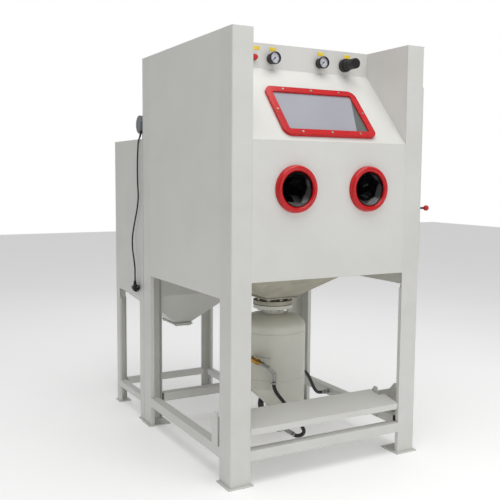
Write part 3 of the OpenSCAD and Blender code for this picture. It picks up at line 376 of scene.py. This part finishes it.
def glass_with_painted_reflection(name):
    """Window glass painted flat: a lavender-grey painted reflection of a bright sky over the lit
    inside, with a painted dark corner for the reflected shaded cheek and dark inside.
    """
    material, tree = start_material(name)
    where = place_of(tree)
    # Lavender-grey: painted reflection of a bright sky over the lit inside.
    painted_sky_reflection = mottled(tree, where, 320, linear("A6A6AE"), linear("A0A0A9"), 1.0)
    parts = add_node(tree, "ShaderNodeSeparateXYZ", {"Vector": where}).outputs
    rise = add_node(tree, "ShaderNodeMath", {0: parts["Z"], 1: -DARK_CORNER_LEAN}, operation="MULTIPLY")
    lean = add_node(tree, "ShaderNodeMath", {0: parts["X"], 1: rise.outputs["Value"]},
                    operation="ADD")
    # Dark corner: painted reflection of the shaded cheek and the dark inside, set by X less its
    # lean times Z.
    painted_dark_corner = add_node(tree, "ShaderNodeMapRange", {"Value": lean.outputs["Value"],
                                                 "From Min": DARK_CORNER_EDGE[0],
                                                 "From Max": DARK_CORNER_EDGE[1]})
    pane = mixed(tree, painted_dark_corner.outputs["Result"], painted_sky_reflection, linear("5F6664"))
    normal = grain(tree, where, 160, 0.3, 0.08)
    end_material(tree, {"Base Color": pane, "Roughness": 0.14, "Normal": normal,
                        "IOR": 1.5})
    return material


def clear_glass(name):
    """Gauge glass: thin, clean and nearly clear."""
    material, tree = start_material(name)
    where = place_of(tree)
    normal = grain(tree, where, 10, 0.02, 0.1)
    end_material(tree, {"Base Color": (1, 1, 1, 1), "Roughness": 0.03, "IOR": 1.2, "Normal": normal,
                        "Transmission Weight": 1.0, "Alpha": 0.35})
    return material


def enamel_dial(name):
    """Printed dial sheet: cool white enamel with a slight tooth."""
    material, tree = start_material(name)
    where = place_of(tree)
    base = mottled(tree, where, 9, linear("EAEAF3"), linear("DDDDEA"))
    end_material(tree, {"Base Color": base, "Roughness": 0.45,
                        "Normal": grain(tree, where, 1.0, 0.02, 0.2)})
    return material


def filter_paper(name):
    """Pleated filter medium: cream fleece with fine vertical pleats."""
    material, tree = start_material(name)
    where = place_of(tree)
    pleats = add_node(tree, "ShaderNodeTexWave", {"Vector": where, "Scale": per_mm(40),
                                                  "Distortion": 0.4}, bands_direction="DIAGONAL")
    bump = add_node(tree, "ShaderNodeBump", {"Height": pleats.outputs["Fac"], "Distance": 3 * MM,
                                             "Strength": 0.8})
    end_material(tree, {"Base Color": mottled(tree, where, 30, linear("DAD5C2"), linear("C7C1AB")),
                        "Roughness": 0.9, "Normal": bump.outputs["Normal"]})
    return material


def lever_paint_and_knob(name, colour):
    """Blackened crank with a red ball pressed on its end."""
    material, tree = start_material(name)
    where = place_of(tree)
    x = add_node(tree, "ShaderNodeSeparateXYZ", {"Vector": where}).outputs["X"]
    ball = add_node(tree, "ShaderNodeMath", {0: x, 1: KNOB_START_X}, operation="GREATER_THAN")
    base = mixed(tree, ball.outputs["Value"], linear("2C2C2C"), colour)
    normal = grain(tree, where, 4, 0.1, 0.2, rounded_edges(tree, 0.8))
    end_material(tree, {"Base Color": base, "Roughness": 0.3, "Normal": normal})
    return material


def poured_floor(name):
    """Pale studio floor."""
    material, tree = start_material(name)
    where = place_of(tree)
    base = mottled(tree, where, 900, linear("FCFCFC"), linear("FAFAFA"))
    end_material(tree, {"Base Color": base, "Roughness": 0.7, "Emission Color": (1, 1, 1, 1),
                        "Emission Strength": 0.2})
    return material


FINISHES = {}


def make_finishes(colours):
    paint = tuple(colours.paint)
    red = tuple(colours.red)
    rubber = tuple(colours.rubber)
    FINISHES.update(
        sheet=powder_coat("powder_coat_panels", paint),
        leg=powder_coat("powder_coat_legs", scaled(paint, 0.98), 0.95, 0.45, 2.0),
        collector=powder_coat("powder_coat_collector", scaled(paint, 0.97), 0.95, 0.45),
        tank=powder_coat("sprayed_tank_paint", linear("D6D6CB"), 0.93, 0.38, 2.0, 0.25),
        inner=grit_worn_steel("grit_worn_steel", linear("8E8C80")),
        hopper=grit_worn_steel("primed_hopper_sheet", linear("B4B0A0")),
        red=moulded_gloss("red_moulded_plastic", red),
        black=moulded_matt("black_abs", linear("232324")),
        black_gloss=moulded_gloss("black_phenolic", linear("19191A"), 0.3, 1.5),
        grey=moulded_matt("grey_abs", linear("8B8B8B"), 0.45),
        label=moulded_matt("yellow_label_film", tuple(colours.label), 0.35, 0.3),
        rubber=extruded_rubber("black_hose_rubber", rubber),
        seal=extruded_rubber("black_sponge_seal", rubber, 0.75),
        lead=extruded_rubber("black_pvc_lead", linear("0C0C0D"), 0.5, 1.2),
        glove=dipped_glove_rubber("dipped_glove_rubber", linear("121213")),
        brass=plated_metal("cast_brass", linear("B98E4A"), 0.34),
        zinc=plated_metal("zinc_plate", linear("B9B7B0"), 0.36),
        steel=plated_metal("turned_steel", linear("A6A6A4"), 0.3),
        motor=powder_coat("grey_motor_enamel", linear("7E8387"), 0.85, 0.4, 1.5, 0.3),
        # Window glass with a painted reflection and a painted dark corner.
        window=glass_with_painted_reflection("window_glass_painted_reflection"),
        lens=clear_glass("gauge_glass"),
        dial=enamel_dial("enamel_dial"),
        ink=moulded_matt("dial_ink", linear("1E1E1E"), 0.6, 0.1),
        filter=filter_paper("filter_paper"),
        handle=lever_paint_and_knob("blackened_crank_with_red_ball", red),
        floor=poured_floor("poured_floor"),
    )


NODE_FINISH = {
    "sheet": ["left_side_panel", "right_side_frame", "front_panel", "window_panel", "control_panel",
              "roof_panel", "back_panel", "wing_cheeks", "side_door", "treadle"],
    "leg": ["leg_front_left", "leg_front_right", "rear_legs", "foot_plates", "bottom_rails",
            "treadle_brackets", "collector_frame"],
    "collector": ["collector_panels", "collector_hopper"],
    "tank": ["tank_shell"],
    "inner": ["work_grate"],
    "hopper": ["hopper", "hopper_outlet"],
    "red": ["window_frame", "glove_ring_left", "glove_ring_right", "push_button_cap"],
    "black": ["gauge_cases", "regulator_body"],
    "black_gloss": ["regulator_knob", "metering_knob"],
    "grey": ["push_button_collar"],
    "ink": ["gauge_needle_left", "gauge_needle_right"],
    "seal": ["seals", "pop_up_valve"],
    "brass": ["metering_valve", "tank_valve"],
    "zinc": ["window_screws", "door_hinge_pins", "flange_bolts", "tank_valve_lever", "dust_gate",
             "foot_valve_plunger", "fan_wheel"],
    "steel": ["foot_valve", "hose_fittings", "blast_nozzle"],
    "motor": ["suction_fan"],
    "window": ["window_glass"],
    "lens": ["gauge_lenses"],
    "filter": ["filter_cartridges"],
    "handle": ["door_handle"],
}


# ---------- mesh helpers ----------


def add_piece(name, mesh, finish, body="cabinet", sharp_deg=40):
    """Puts a mesh in the scene as a piece that rides on a body."""
    mesh.polygons.foreach_set("use_smooth", [True] * len(mesh.polygons))
    mesh.set_sharp_from_angle(angle=math.radians(sharp_deg))
    piece = bpy.data.objects.new(name, mesh)
    bpy.context.scene.collection.objects.link(piece)
    mesh.materials.append(FINISHES[finish])
    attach(piece, body)
    return piece


def mesh_from(name, verts, faces):
    mesh = bpy.data.meshes.new(name)
    mesh.from_pydata([tuple(v) for v in verts], [], faces)
    bm = bmesh.new()
    bm.from_mesh(mesh)
    bmesh.ops.remove_doubles(bm, verts=bm.verts, dist=1e-6)
    bmesh.ops.recalc_face_normals(bm, faces=bm.faces)
    bm.to_mesh(mesh)
    bm.free()
    return mesh


def ring_skin(rings, close_start=False, close_end=False):
    """Verts and faces of a skin through rings that all have the same number of points."""
    count = len(rings[0])
    verts = [p for ring in rings for p in ring]
    faces = []
    for i in range(len(rings) - 1):
        for k in range(count):
            n = (k + 1) % count
            faces.append((i * count + k, i * count + n, (i + 1) * count + n, (i + 1) * count + k))
    if close_start:
        faces.append(tuple(reversed(range(count))))
    if close_end:
        faces.append(tuple((len(rings) - 1) * count + k for k in range(count)))
    return verts, faces


def turned(name, profile, matrix, sides=64, hollow=False):
    """A lathe-turned mesh: profile of (radius, height) about the matrix's +Z, capped or hollow."""
    rings = []
    if hollow:
        profile = list(profile) + [profile[0]]
    for r, z in profile:
        rings.append([matrix @ Vector((r * math.cos(2 * math.pi * k / sides),
                                       r * math.sin(2 * math.pi * k / sides), z))
                      for k in range(sides)])
    capped = not hollow
    return mesh_from(name, *ring_skin(rings, capped and profile[0][0] > 0,
                                      capped and profile[-1][0] > 0))


def facing_front(x, y, z):
    """A frame whose +Z points to the operator."""
    return Matrix.Translation((x, y, z)) @ Matrix.Rotation(math.radians(90), 4, "X")


def rounded_plate(name, w, h, r, t, matrix, corner_steps=6):
    """A thin plate with rounded corners and a softened front edge."""
    bm = bmesh.new()
    ring = []
    for cx, cy, start in ((1, 1, 0), (-1, 1, 90), (-1, -1, 180), (1, -1, 270)):
        for i in range(corner_steps + 1):
            a = math.radians(start + 90 * i / corner_steps)
            ring.append(bm.verts.new((cx * (w / 2 - r) + r * math.cos(a),
                                      cy * (h / 2 - r) + r * math.sin(a), 0)))
    face = bm.faces.new(ring)
    up = bmesh.ops.extrude_face_region(bm, geom=[face])
    top = [v for v in up["geom"] if isinstance(v, bmesh.types.BMVert)]
    bmesh.ops.translate(bm, verts=top, vec=(0, 0, t))
    rim = [e for e in bm.edges if all(v in top for v in e.verts)]
    bmesh.ops.bevel(bm, geom=rim, offset=t * 0.4, segments=2, profile=0.5, affect="EDGES")
    bmesh.ops.recalc_face_normals(bm, faces=bm.faces)
    bmesh.ops.transform(bm, matrix=matrix, verts=bm.verts)
    mesh = bpy.data.meshes.new(name)
    bm.to_mesh(mesh)
    bm.free()
    return mesh


def joined(name, meshes):
    bm = bmesh.new()
    for mesh in meshes:
        bm.from_mesh(mesh)
    out = bpy.data.meshes.new(name)
    bm.to_mesh(out)
    bm.free()
    return out


def hose_curve(name, points, diameter, finish, node):
    """A round hose as one smooth spline through its route."""
    data = bpy.data.curves.new(name, "CURVE")
    data.dimensions = "3D"
    data.bevel_depth = diameter / 2
    data.bevel_resolution = 6
    data.resolution_u = 10
    data.use_fill_caps = True
    spline = data.splines.new("BEZIER")
    spline.bezier_points.add(len(points) - 1)
    for i, p in enumerate(points):
        bp = spline.bezier_points[i]
        bp.co = p
        before = points[max(i - 1, 0)]
        after = points[min(i + 1, len(points) - 1)]
        along = (after - before).normalized()
        bp.handle_left_type = bp.handle_right_type = "FREE"
        bp.handle_left = p - along * (p - before).length / 3
        bp.handle_right = p + along * (after - p).length / 3
    piece = bpy.data.objects.new(name, data)
    bpy.context.scene.collection.objects.link(piece)
    data.materials.append(FINISHES[finish])
    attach(piece, "cabinet")
    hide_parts(node)
    return piece


# ---------- operators: one for each piece or group ----------


class CABINET_OT_finishes(bpy.types.Operator):
    """Gives each metal, plastic and glass part of the frame its finish"""

    bl_idname = "cabinet.finishes"
    bl_label = "Finish the frame"

    def execute(self, context):
        make_finishes(context.scene.cabinet_colours)
        for finish, names in NODE_FINISH.items():
            for name in names:
                for slot in NODES[name].material_slots:
                    slot.material = FINISHES[finish]
        return {"FINISHED"}


class CABINET_OT_stage(bpy.types.Operator):
    """Sets the floor, the soft lights and the camera"""

    bl_idname = "cabinet.stage"
    bl_label = "Stage"

    def execute(self, context):
        settings = context.scene.cabinet_stage
        scene = context.scene
        level = math.cos(CAMERA_PITCH)
        ahead = Vector((math.sin(CAMERA_YAW) * level, math.cos(CAMERA_YAW) * level,
                        math.sin(CAMERA_PITCH)))
        data = bpy.data.cameras.new("studio_camera")
        data.sensor_width = SENSOR_WIDTH
        data.lens = settings.lens
        data.shift_x = CAMERA_SHIFT
        camera = bpy.data.objects.new("studio_camera", data)
        aim = ahead.to_track_quat("-Z", "Y").to_matrix().to_4x4()
        place = Matrix.Translation(CAMERA_PLACE)
        camera.matrix_world = place @ aim @ Matrix.Rotation(CAMERA_ROLL, 4, "Z")
        scene.collection.objects.link(camera)
        scene.camera = camera
        self.lights(scene, settings)
        self.floor(scene)
        scene.view_settings.view_transform = "Standard"
        return {"FINISHED"}

    def lights(self, scene, settings):
        aim_at = Vector((0, 0, 1.0))
        for name, place, size, power in (
            ("overhead_softbox", (-0.2, -1.2, 4.6), 3.4, settings.key_power),
            ("front_fill", (0.9, -3.6, 1.7), 1.6, settings.fill_power),
            ("back_fill", (1.6, 3.6, 3.0), 2.4, settings.fill_power * 0.5),
        ):
            data = bpy.data.lights.new(name, "AREA")
            data.size = size
            data.energy = power
            lamp = bpy.data.objects.new(name, data)
            lamp.location = place
            lamp.rotation_euler = (aim_at - Vector(place)).to_track_quat("-Z", "Y").to_euler()
            scene.collection.objects.link(lamp)
        world = bpy.data.worlds.new("studio_white")
        world.use_nodes = True
        tree = world.node_tree
        tree.nodes.clear()
        seen = add_node(tree, "ShaderNodeLightPath").outputs["Is Camera Ray"]
        glow = add_node(tree, "ShaderNodeBackground", {"Strength": AMBIENT})
        glow.inputs["Color"].default_value = (1.0, 1.0, 1.0, 1.0)
        white = add_node(tree, "ShaderNodeBackground", {"Strength": 1.0})
        white.inputs["Color"].default_value = (1.0, 1.0, 1.0, 1.0)
        both = add_node(tree, "ShaderNodeMixShader", {0: seen, 1: glow.outputs["Background"],
                                                      2: white.outputs["Background"]})
        add_node(tree, "ShaderNodeOutputWorld", {"Surface": both.outputs["Shader"]})
        scene.world = world

    def floor(self, scene):
        corners = [(x * FLOOR_HALF, y * FLOOR_HALF, 0)
                   for x, y in ((-1, -1), (1, -1), (1, 1), (-1, 1))]
        mesh = mesh_from("floor", corners, [(0, 1, 2, 3)])
        floor = bpy.data.objects.new("studio_floor", mesh)
        mesh.materials.append(FINISHES["floor"])
        scene.collection.objects.link(floor)


class CABINET_OT_lead(bpy.types.Operator):
    """Hangs the mains lead with its strain relief and plug"""

    bl_idname = "cabinet.lead"
    bl_label = "Mains lead"

    def execute(self, context):
        route = metres(LEAD)
        lead = hose_curve("mains_lead", route, LEAD_DIAMETER, "lead", "power_cord")
        relief = self.relief(route)
        plug = self.plug(route[-1])
        pins = self.pins(route[-1])
        return {"FINISHED"}

    def relief(self, route):
        """Ribbed tapering sleeve over the lead's first stretch."""
        rings = []
        sides = 24
        steps = 22
        for i in range(steps + 1):
            t = i / steps
            along = t * 2.2
            a, b = route[int(along)], route[min(int(along) + 1, len(route) - 1)]
            centre = a.lerp(b, along - int(along))
            down = (route[min(int(along) + 1, 3)] - route[int(along)]).normalized()
            right = down.cross(Vector((0, 1, 0))).normalized()
            ahead = right.cross(down)
            rib = 0.0006 * (1 if i % 4 < 2 else 0)
            r = 0.0068 - 0.0022 * t + rib
            rings.append([centre + r * (math.cos(2 * math.pi * k / sides) * right
                                        + math.sin(2 * math.pi * k / sides) * ahead)
                          for k in range(sides)])
        mesh = mesh_from("lead_strain_relief", *ring_skin(rings, True, True))
        return add_piece("lead_strain_relief", mesh, "black")

    def plug(self, end):
        """Angled moulded plug: round face, waisted grip and a ribbed collar for the lead."""
        grip = facing_front(end.x, end.y, end.z - PLUG_DROP)
        body = turned("plug_body", [
            (0.009, -0.0295), (0.0115, -0.0285), (0.0128, -0.024), (0.0148, -0.012),
            (0.0162, -0.004), (0.0178, -0.001), (0.0188, 0.001), (0.0190, 0.004),
            (0.0190, 0.0215), (0.0184, 0.0236), (0.0165, 0.0240),
        ], grip, 48)
        collar_profile = []
        for i in range(13):
            t = i / 12
            rib = 0.0007 if i % 2 else 0.0
            collar_profile.append((0.0105 - 0.0048 * t + rib, -0.026 + 0.026 * t))
        collar = turned("plug_collar", collar_profile, Matrix.Translation(end), 32)
        plug = add_piece("mains_plug", joined("mains_plug", [body, collar]), "black_gloss")
        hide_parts("power_plug")
        return plug

    def pins(self, end):
        rods = []
        for s in (-1, 1):
            place = facing_front(end.x, end.y - 0.0238, end.z - PLUG_DROP + PIN_OFFSET * s)
            rods.append(turned("pin", [(0.0024, 0), (0.0024, 0.0168), (0.0020, 0.0184),
                                       (0.0012, 0.0190)], place, 20))
        return add_piece("mains_plug_pins", joined("mains_plug_pins", rods), "steel")


class CABINET_OT_hoses(bpy.types.Operator):
    """Lays the air, supply and blast hoses and their clamps"""

    bl_idname = "cabinet.hoses"
    bl_label = "Hoses"

    def execute(self, context):
        for name, route, diameter, node in (
            ("air_hose_smooth", AIR_HOSE, HOSE_DIAMETER, "air_hose"),
            ("supply_hose_smooth", SUPPLY_HOSE, HOSE_DIAMETER, "supply_hose"),
            ("blast_hose_smooth", BLAST_HOSE, BLAST_DIAMETER, "blast_hose"),
        ):
            points = metres(route)
            hose_curve(name, points, diameter, "rubber", node)
            ends = []
            for a, b in ((points[0], points[1]), (points[-1], points[-2])):
                ends.append(self.clamp(a, (b - a).normalized(), diameter / 2))
            add_piece(name + "_clamps", joined(name + "_clamps", ends), "zinc")
        return {"FINISHED"}

    def clamp(self, end, along, radius):
        """Worm-drive clip round the hose end: a band with a raised screw housing."""
        turn = along.to_track_quat("Z", "Y").to_matrix().to_4x4()
        place = Matrix.Translation(end + along * 0.006) @ turn
        r = radius
        band = turned("band", [(r + 0.0002, 0), (r + 0.0014, 0.0004), (r + 0.0014, 0.0096),
                               (r + 0.0002, 0.010)], place, 40, hollow=True)
        screw_place = place @ Matrix.Translation((r + 0.0042, -0.006, 0.005))
        screw_place = screw_place @ Matrix.Rotation(math.radians(-90), 4, "X")
        screw = turned("screw", [(0.0026, 0), (0.0036, 0.001), (0.0036, 0.010), (0.0042, 0.0104),
                                 (0.0042, 0.013), (0.0030, 0.0136)], screw_place, 16)
        return joined("clip", [band, screw])


class CABINET_OT_gloves(bpy.types.Operator):
    """Models the two creased rubber gloves in the ports"""

    bl_idname = "cabinet.gloves"
    bl_label = "Gloves"

    def execute(self, context):
        depth = context.scene.cabinet_sizes.glove_wrinkle
        for sign, node in ((-1, "glove_left"), (1, "glove_right")):
            glove = self.glove(sign, depth)
            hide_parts(node)
        return {"FINISHED"}

    def mouth(self, corners, angle):
        """Radius of a folded mouth whose straight folds run from corner to corner."""
        a = math.degrees(angle) % 360
        around = corners + [(corners[0][0] + 360, corners[0][1])]
        if a < around[0][0]:
            a += 360
        for (a0, r0), (a1, r1) in zip(around, around[1:]):
            if a0 <= a <= a1:
                p = Vector((math.cos(math.radians(a0)), math.sin(math.radians(a0)))) * r0
                q = Vector((math.cos(math.radians(a1)), math.sin(math.radians(a1)))) * r1
                ray = Vector((math.cos(math.radians(a)), math.sin(math.radians(a))))
                side = q - p
                return (p.x * side.y - p.y * side.x) / (ray.x * side.y - ray.y * side.x)
        raise RuntimeError("glove mouth has no fold at this angle")

    def glove(self, sign, fold_depth):
        """Sleeve from the port's throat, folded at its mouth and hanging down inside."""
        x = sign * PORT_X
        corners = GLOVE_FOLDS[sign]
        # forward of the front panel, lift, radius, share of the folded mouth, share of folds
        path = [
            (0.016, 0.000, 0.0735, 0.0, 0.0), (0.008, 0.000, 0.0735, 0.0, 0.0),
            (0.002, 0.000, 0.0733, 0.25, 0.0), (-0.003, 0.000, 0.0731, 0.7, 0.0),
            (-0.008, 0.000, 0.0728, 1.0, 0.0), (-0.0105, 0.000, 0.0727, 1.04, 0.0),
            (-0.0125, 0.000, 0.0727, 1.0, 0.0), (-0.015, 0.000, 0.0727, 0.8, 0.0),
            (-0.024, 0.000, 0.0725, 0.45, 0.1), (-0.042, -0.001, 0.0710, 0.2, 0.3),
            (-0.058, -0.002, 0.0690, 0.0, 0.5), (-0.074, -0.004, 0.0660, 0.0, 0.7),
            (-0.090, -0.007, 0.0610, 0.0, 0.9), (-0.106, -0.012, 0.0550, 0.0, 1.0),
            (-0.120, -0.019, 0.0490, 0.0, 1.0), (-0.132, -0.029, 0.0440, 0.0, 0.9),
            (-0.141, -0.042, 0.0410, 0.0, 0.8), (-0.147, -0.058, 0.0400, 0.0, 0.6),
            (-0.149, -0.074, 0.0390, 0.0, 0.5), (-0.147, -0.088, 0.0360, 0.0, 0.4),
            (-0.144, -0.099, 0.0290, 0.0, 0.2), (-0.141, -0.107, 0.0160, 0.0, 0.0),
            (-0.140, -0.111, 0.0030, 0.0, 0.0),
        ]
        rings = []
        for i, (out, drop, radius, mouth, folds) in enumerate(path):
            ring = []
            nxt = path[min(i + 1, len(path) - 1)]
            prv = path[max(i - 1, 0)]
            tangent = Vector((0, prv[0] - nxt[0], nxt[1] - prv[1])).normalized()
            up = Vector((1, 0, 0)).cross(tangent).normalized()
            if up.z < 0 and i < 14:
                up = -up
            for k in range(LIMB_SIDES):
                a = 2 * math.pi * k / LIMB_SIDES
                twist = a + sign * 1.1 * folds
                lobes = (0.55 * math.cos(5 * twist + 0.7 * sign)
                         + 0.35 * math.cos(8 * twist + 2.1 + 3 * folds)
                         + 0.25 * math.cos(13 * twist - 1.3))
                seed = Vector((math.cos(a) * 2.2, math.sin(a) * 2.2, i * 0.45 + 7 * sign))
                crumple = 0.003 * noise.noise(seed) * min(1.0, folds * 2)
                folded = min(radius, self.mouth(corners, a) * MM)
                r = radius + (folded - radius) * mouth
                r += fold_depth * folds * min(0.0, lobes - 0.3) + crumple
                r = max(0.002, r)
                spot = Vector((x, FRONT_Y - out, PORT_Z + drop))
                ring.append(spot + r * (math.cos(a) * Vector((1, 0, 0)) + math.sin(a) * up))
            rings.append(ring)
        name = "rubber_glove_left" if sign < 0 else "rubber_glove_right"
        mesh = mesh_from(name, *ring_skin(rings, False, True))
        return add_piece(name, mesh, "glove", sharp_deg=32)


class CABINET_OT_gauges(bpy.types.Operator):
    """Adds dials, tick marks and bezels to the two gauges"""

    bl_idname = "cabinet.gauges"
    bl_label = "Gauges"

    def execute(self, context):
        for side, (x, _, _) in zip(("left", "right"), PIVOTS):
            floor = facing_front(x, PANEL_Y - GAUGE_DEPTH + DIAL_DEPTH, CONTROLS_Z)
            disc = turned("dial_" + side, [(0.0, 0.0006), (0.0236, 0.0006), (0.0238, 0.0002)],
                          floor)
            add_piece("gauge_dial_" + side, disc, "dial")
            add_piece("gauge_ticks_" + side, self.ticks(floor), "ink")
            rim = facing_front(x, PANEL_Y - GAUGE_DEPTH, CONTROLS_Z)
            r = GAUGE_R
            bezel = turned("bezel_" + side, [
                (r - 0.0032, -0.0008), (r - 0.0032, 0.0006), (r - 0.0022, 0.0018),
                (r - 0.0006, 0.0021), (r + 0.0006, 0.0014), (r + 0.0010, 0.0),
                (r + 0.0010, -0.009), (r - 0.0032, -0.0098),
            ], rim, hollow=True)
            add_piece("gauge_bezel_" + side, bezel, "black_gloss")
        return {"FINISHED"}

    def ticks(self, place):
        """Twenty-six strokes over three quarters of the dial, each fifth one longer."""
        bars = []
        for i in range(TICKS + 1):
            angle = math.radians(225 - DIAL_SWEEP * i / TICKS)
            long_one = i % 5 == 0
            inner, outer = (0.0165 if long_one else 0.0185), 0.0215
            half = 0.00045 if long_one else 0.00025
            turn = place @ Matrix.Rotation(angle, 4, "Z")
            corners = [(inner, -half), (outer, -half), (outer, half), (inner, half)]
            low = [turn @ Vector((cx, cy, 0.0005)) for cx, cy in corners]
            high = [turn @ Vector((cx, cy, 0.0008)) for cx, cy in corners]
            bars.append(mesh_from("tick", *ring_skin([low, high], True, True)))
        return joined("ticks", bars)


class CABINET_OT_labels(bpy.types.Operator):
    """Sticks four blank yellow labels above the controls"""

    bl_idname = "cabinet.labels"
    bl_label = "Labels"

    def execute(self, context):
        sizes = context.scene.cabinet_sizes
        for i, (x, z) in enumerate(LABELS):
            place = facing_front(x, PANEL_Y, z)
            mesh = rounded_plate(f"label_{i}", sizes.label_width, sizes.label_height, 0.002, 0.0008,
                                 place)
            add_piece(f"control_label_{i + 1}", mesh, "label")
        return {"FINISHED"}


class CABINET_OT_welds(bpy.types.Operator):
    """Runs weld beads round the tank's neck and its outlet boss"""

    bl_idname = "cabinet.welds"
    bl_label = "Weld beads"

    def execute(self, context):
        width = context.scene.cabinet_sizes.seam_bead
        rings = []
        for radius, z, tag in ((0.0572, 0.641, "neck"), (0.0285, 0.1625, "outlet")):
            rings.append(self.bead(radius, z, width, tag))
        add_piece("tank_weld_beads", joined("tank_weld_beads", rings), "tank")
        return {"FINISHED"}

    def bead(self, radius, z, width, tag):
        """A rippled ring of weld round the tank's axis."""
        around, across = 160, 10
        rows = []
        for i in range(around + 1):
            a = 2 * math.pi * i / around
            ripple = 1 + 0.12 * math.sin(a * radius / 0.0011)
            r = width / 2 * ripple
            out = Vector((math.cos(a), math.sin(a), 0))
            centre = out * radius + Vector((0, 0, z))
            rows.append([centre + r * (math.cos(2 * math.pi * k / across) * out
                                       + math.sin(2 * math.pi * k / across) * Vector((0, 0, 1)))
                         for k in range(across)])
        return mesh_from("weld_" + tag, *ring_skin(rows))


class CABINET_PT_panel(bpy.types.Panel):
    """Sizes, colours and steps of the cabinet's looks"""

    bl_idname = "CABINET_PT_panel"
    bl_label = "Sandblast cabinet"
    bl_space_type = "VIEW_3D"
    bl_region_type = "UI"
    bl_category = "Cabinet"

    def draw(self, context):
        scene = context.scene
        for group in (scene.cabinet_sizes, scene.cabinet_colours, scene.cabinet_stage):
            for name in group.__annotations__:
                self.layout.prop(group, name)
        for operator in OPERATORS:
            self.layout.operator(operator.bl_idname)


GROUPS = (CabinetSizes, CabinetColours, StageSettings)
OPERATORS = (
    CABINET_OT_finishes,
    CABINET_OT_stage,
    CABINET_OT_lead,
    CABINET_OT_hoses,
    CABINET_OT_gloves,
    CABINET_OT_gauges,
    CABINET_OT_labels,
    CABINET_OT_welds,
)


def register():
    for cls in GROUPS + OPERATORS + (CABINET_PT_panel,):
        bpy.utils.register_class(cls)
    bpy.types.Scene.cabinet_sizes = bpy.props.PointerProperty(type=CabinetSizes)
    bpy.types.Scene.cabinet_colours = bpy.props.PointerProperty(type=CabinetColours)
    bpy.types.Scene.cabinet_stage = bpy.props.PointerProperty(type=StageSettings)


def unregister():
    del bpy.types.Scene.cabinet_stage
    del bpy.types.Scene.cabinet_colours
    del bpy.types.Scene.cabinet_sizes
    for cls in reversed(GROUPS + OPERATORS + (CABINET_PT_panel,)):
        bpy.utils.unregister_class(cls)


def main():
    register()
    for operator in OPERATORS:
        group, name = operator.bl_idname.split(".")
        getattr(getattr(bpy.ops, group), name)()


if __name__ == "__main__":
    main()
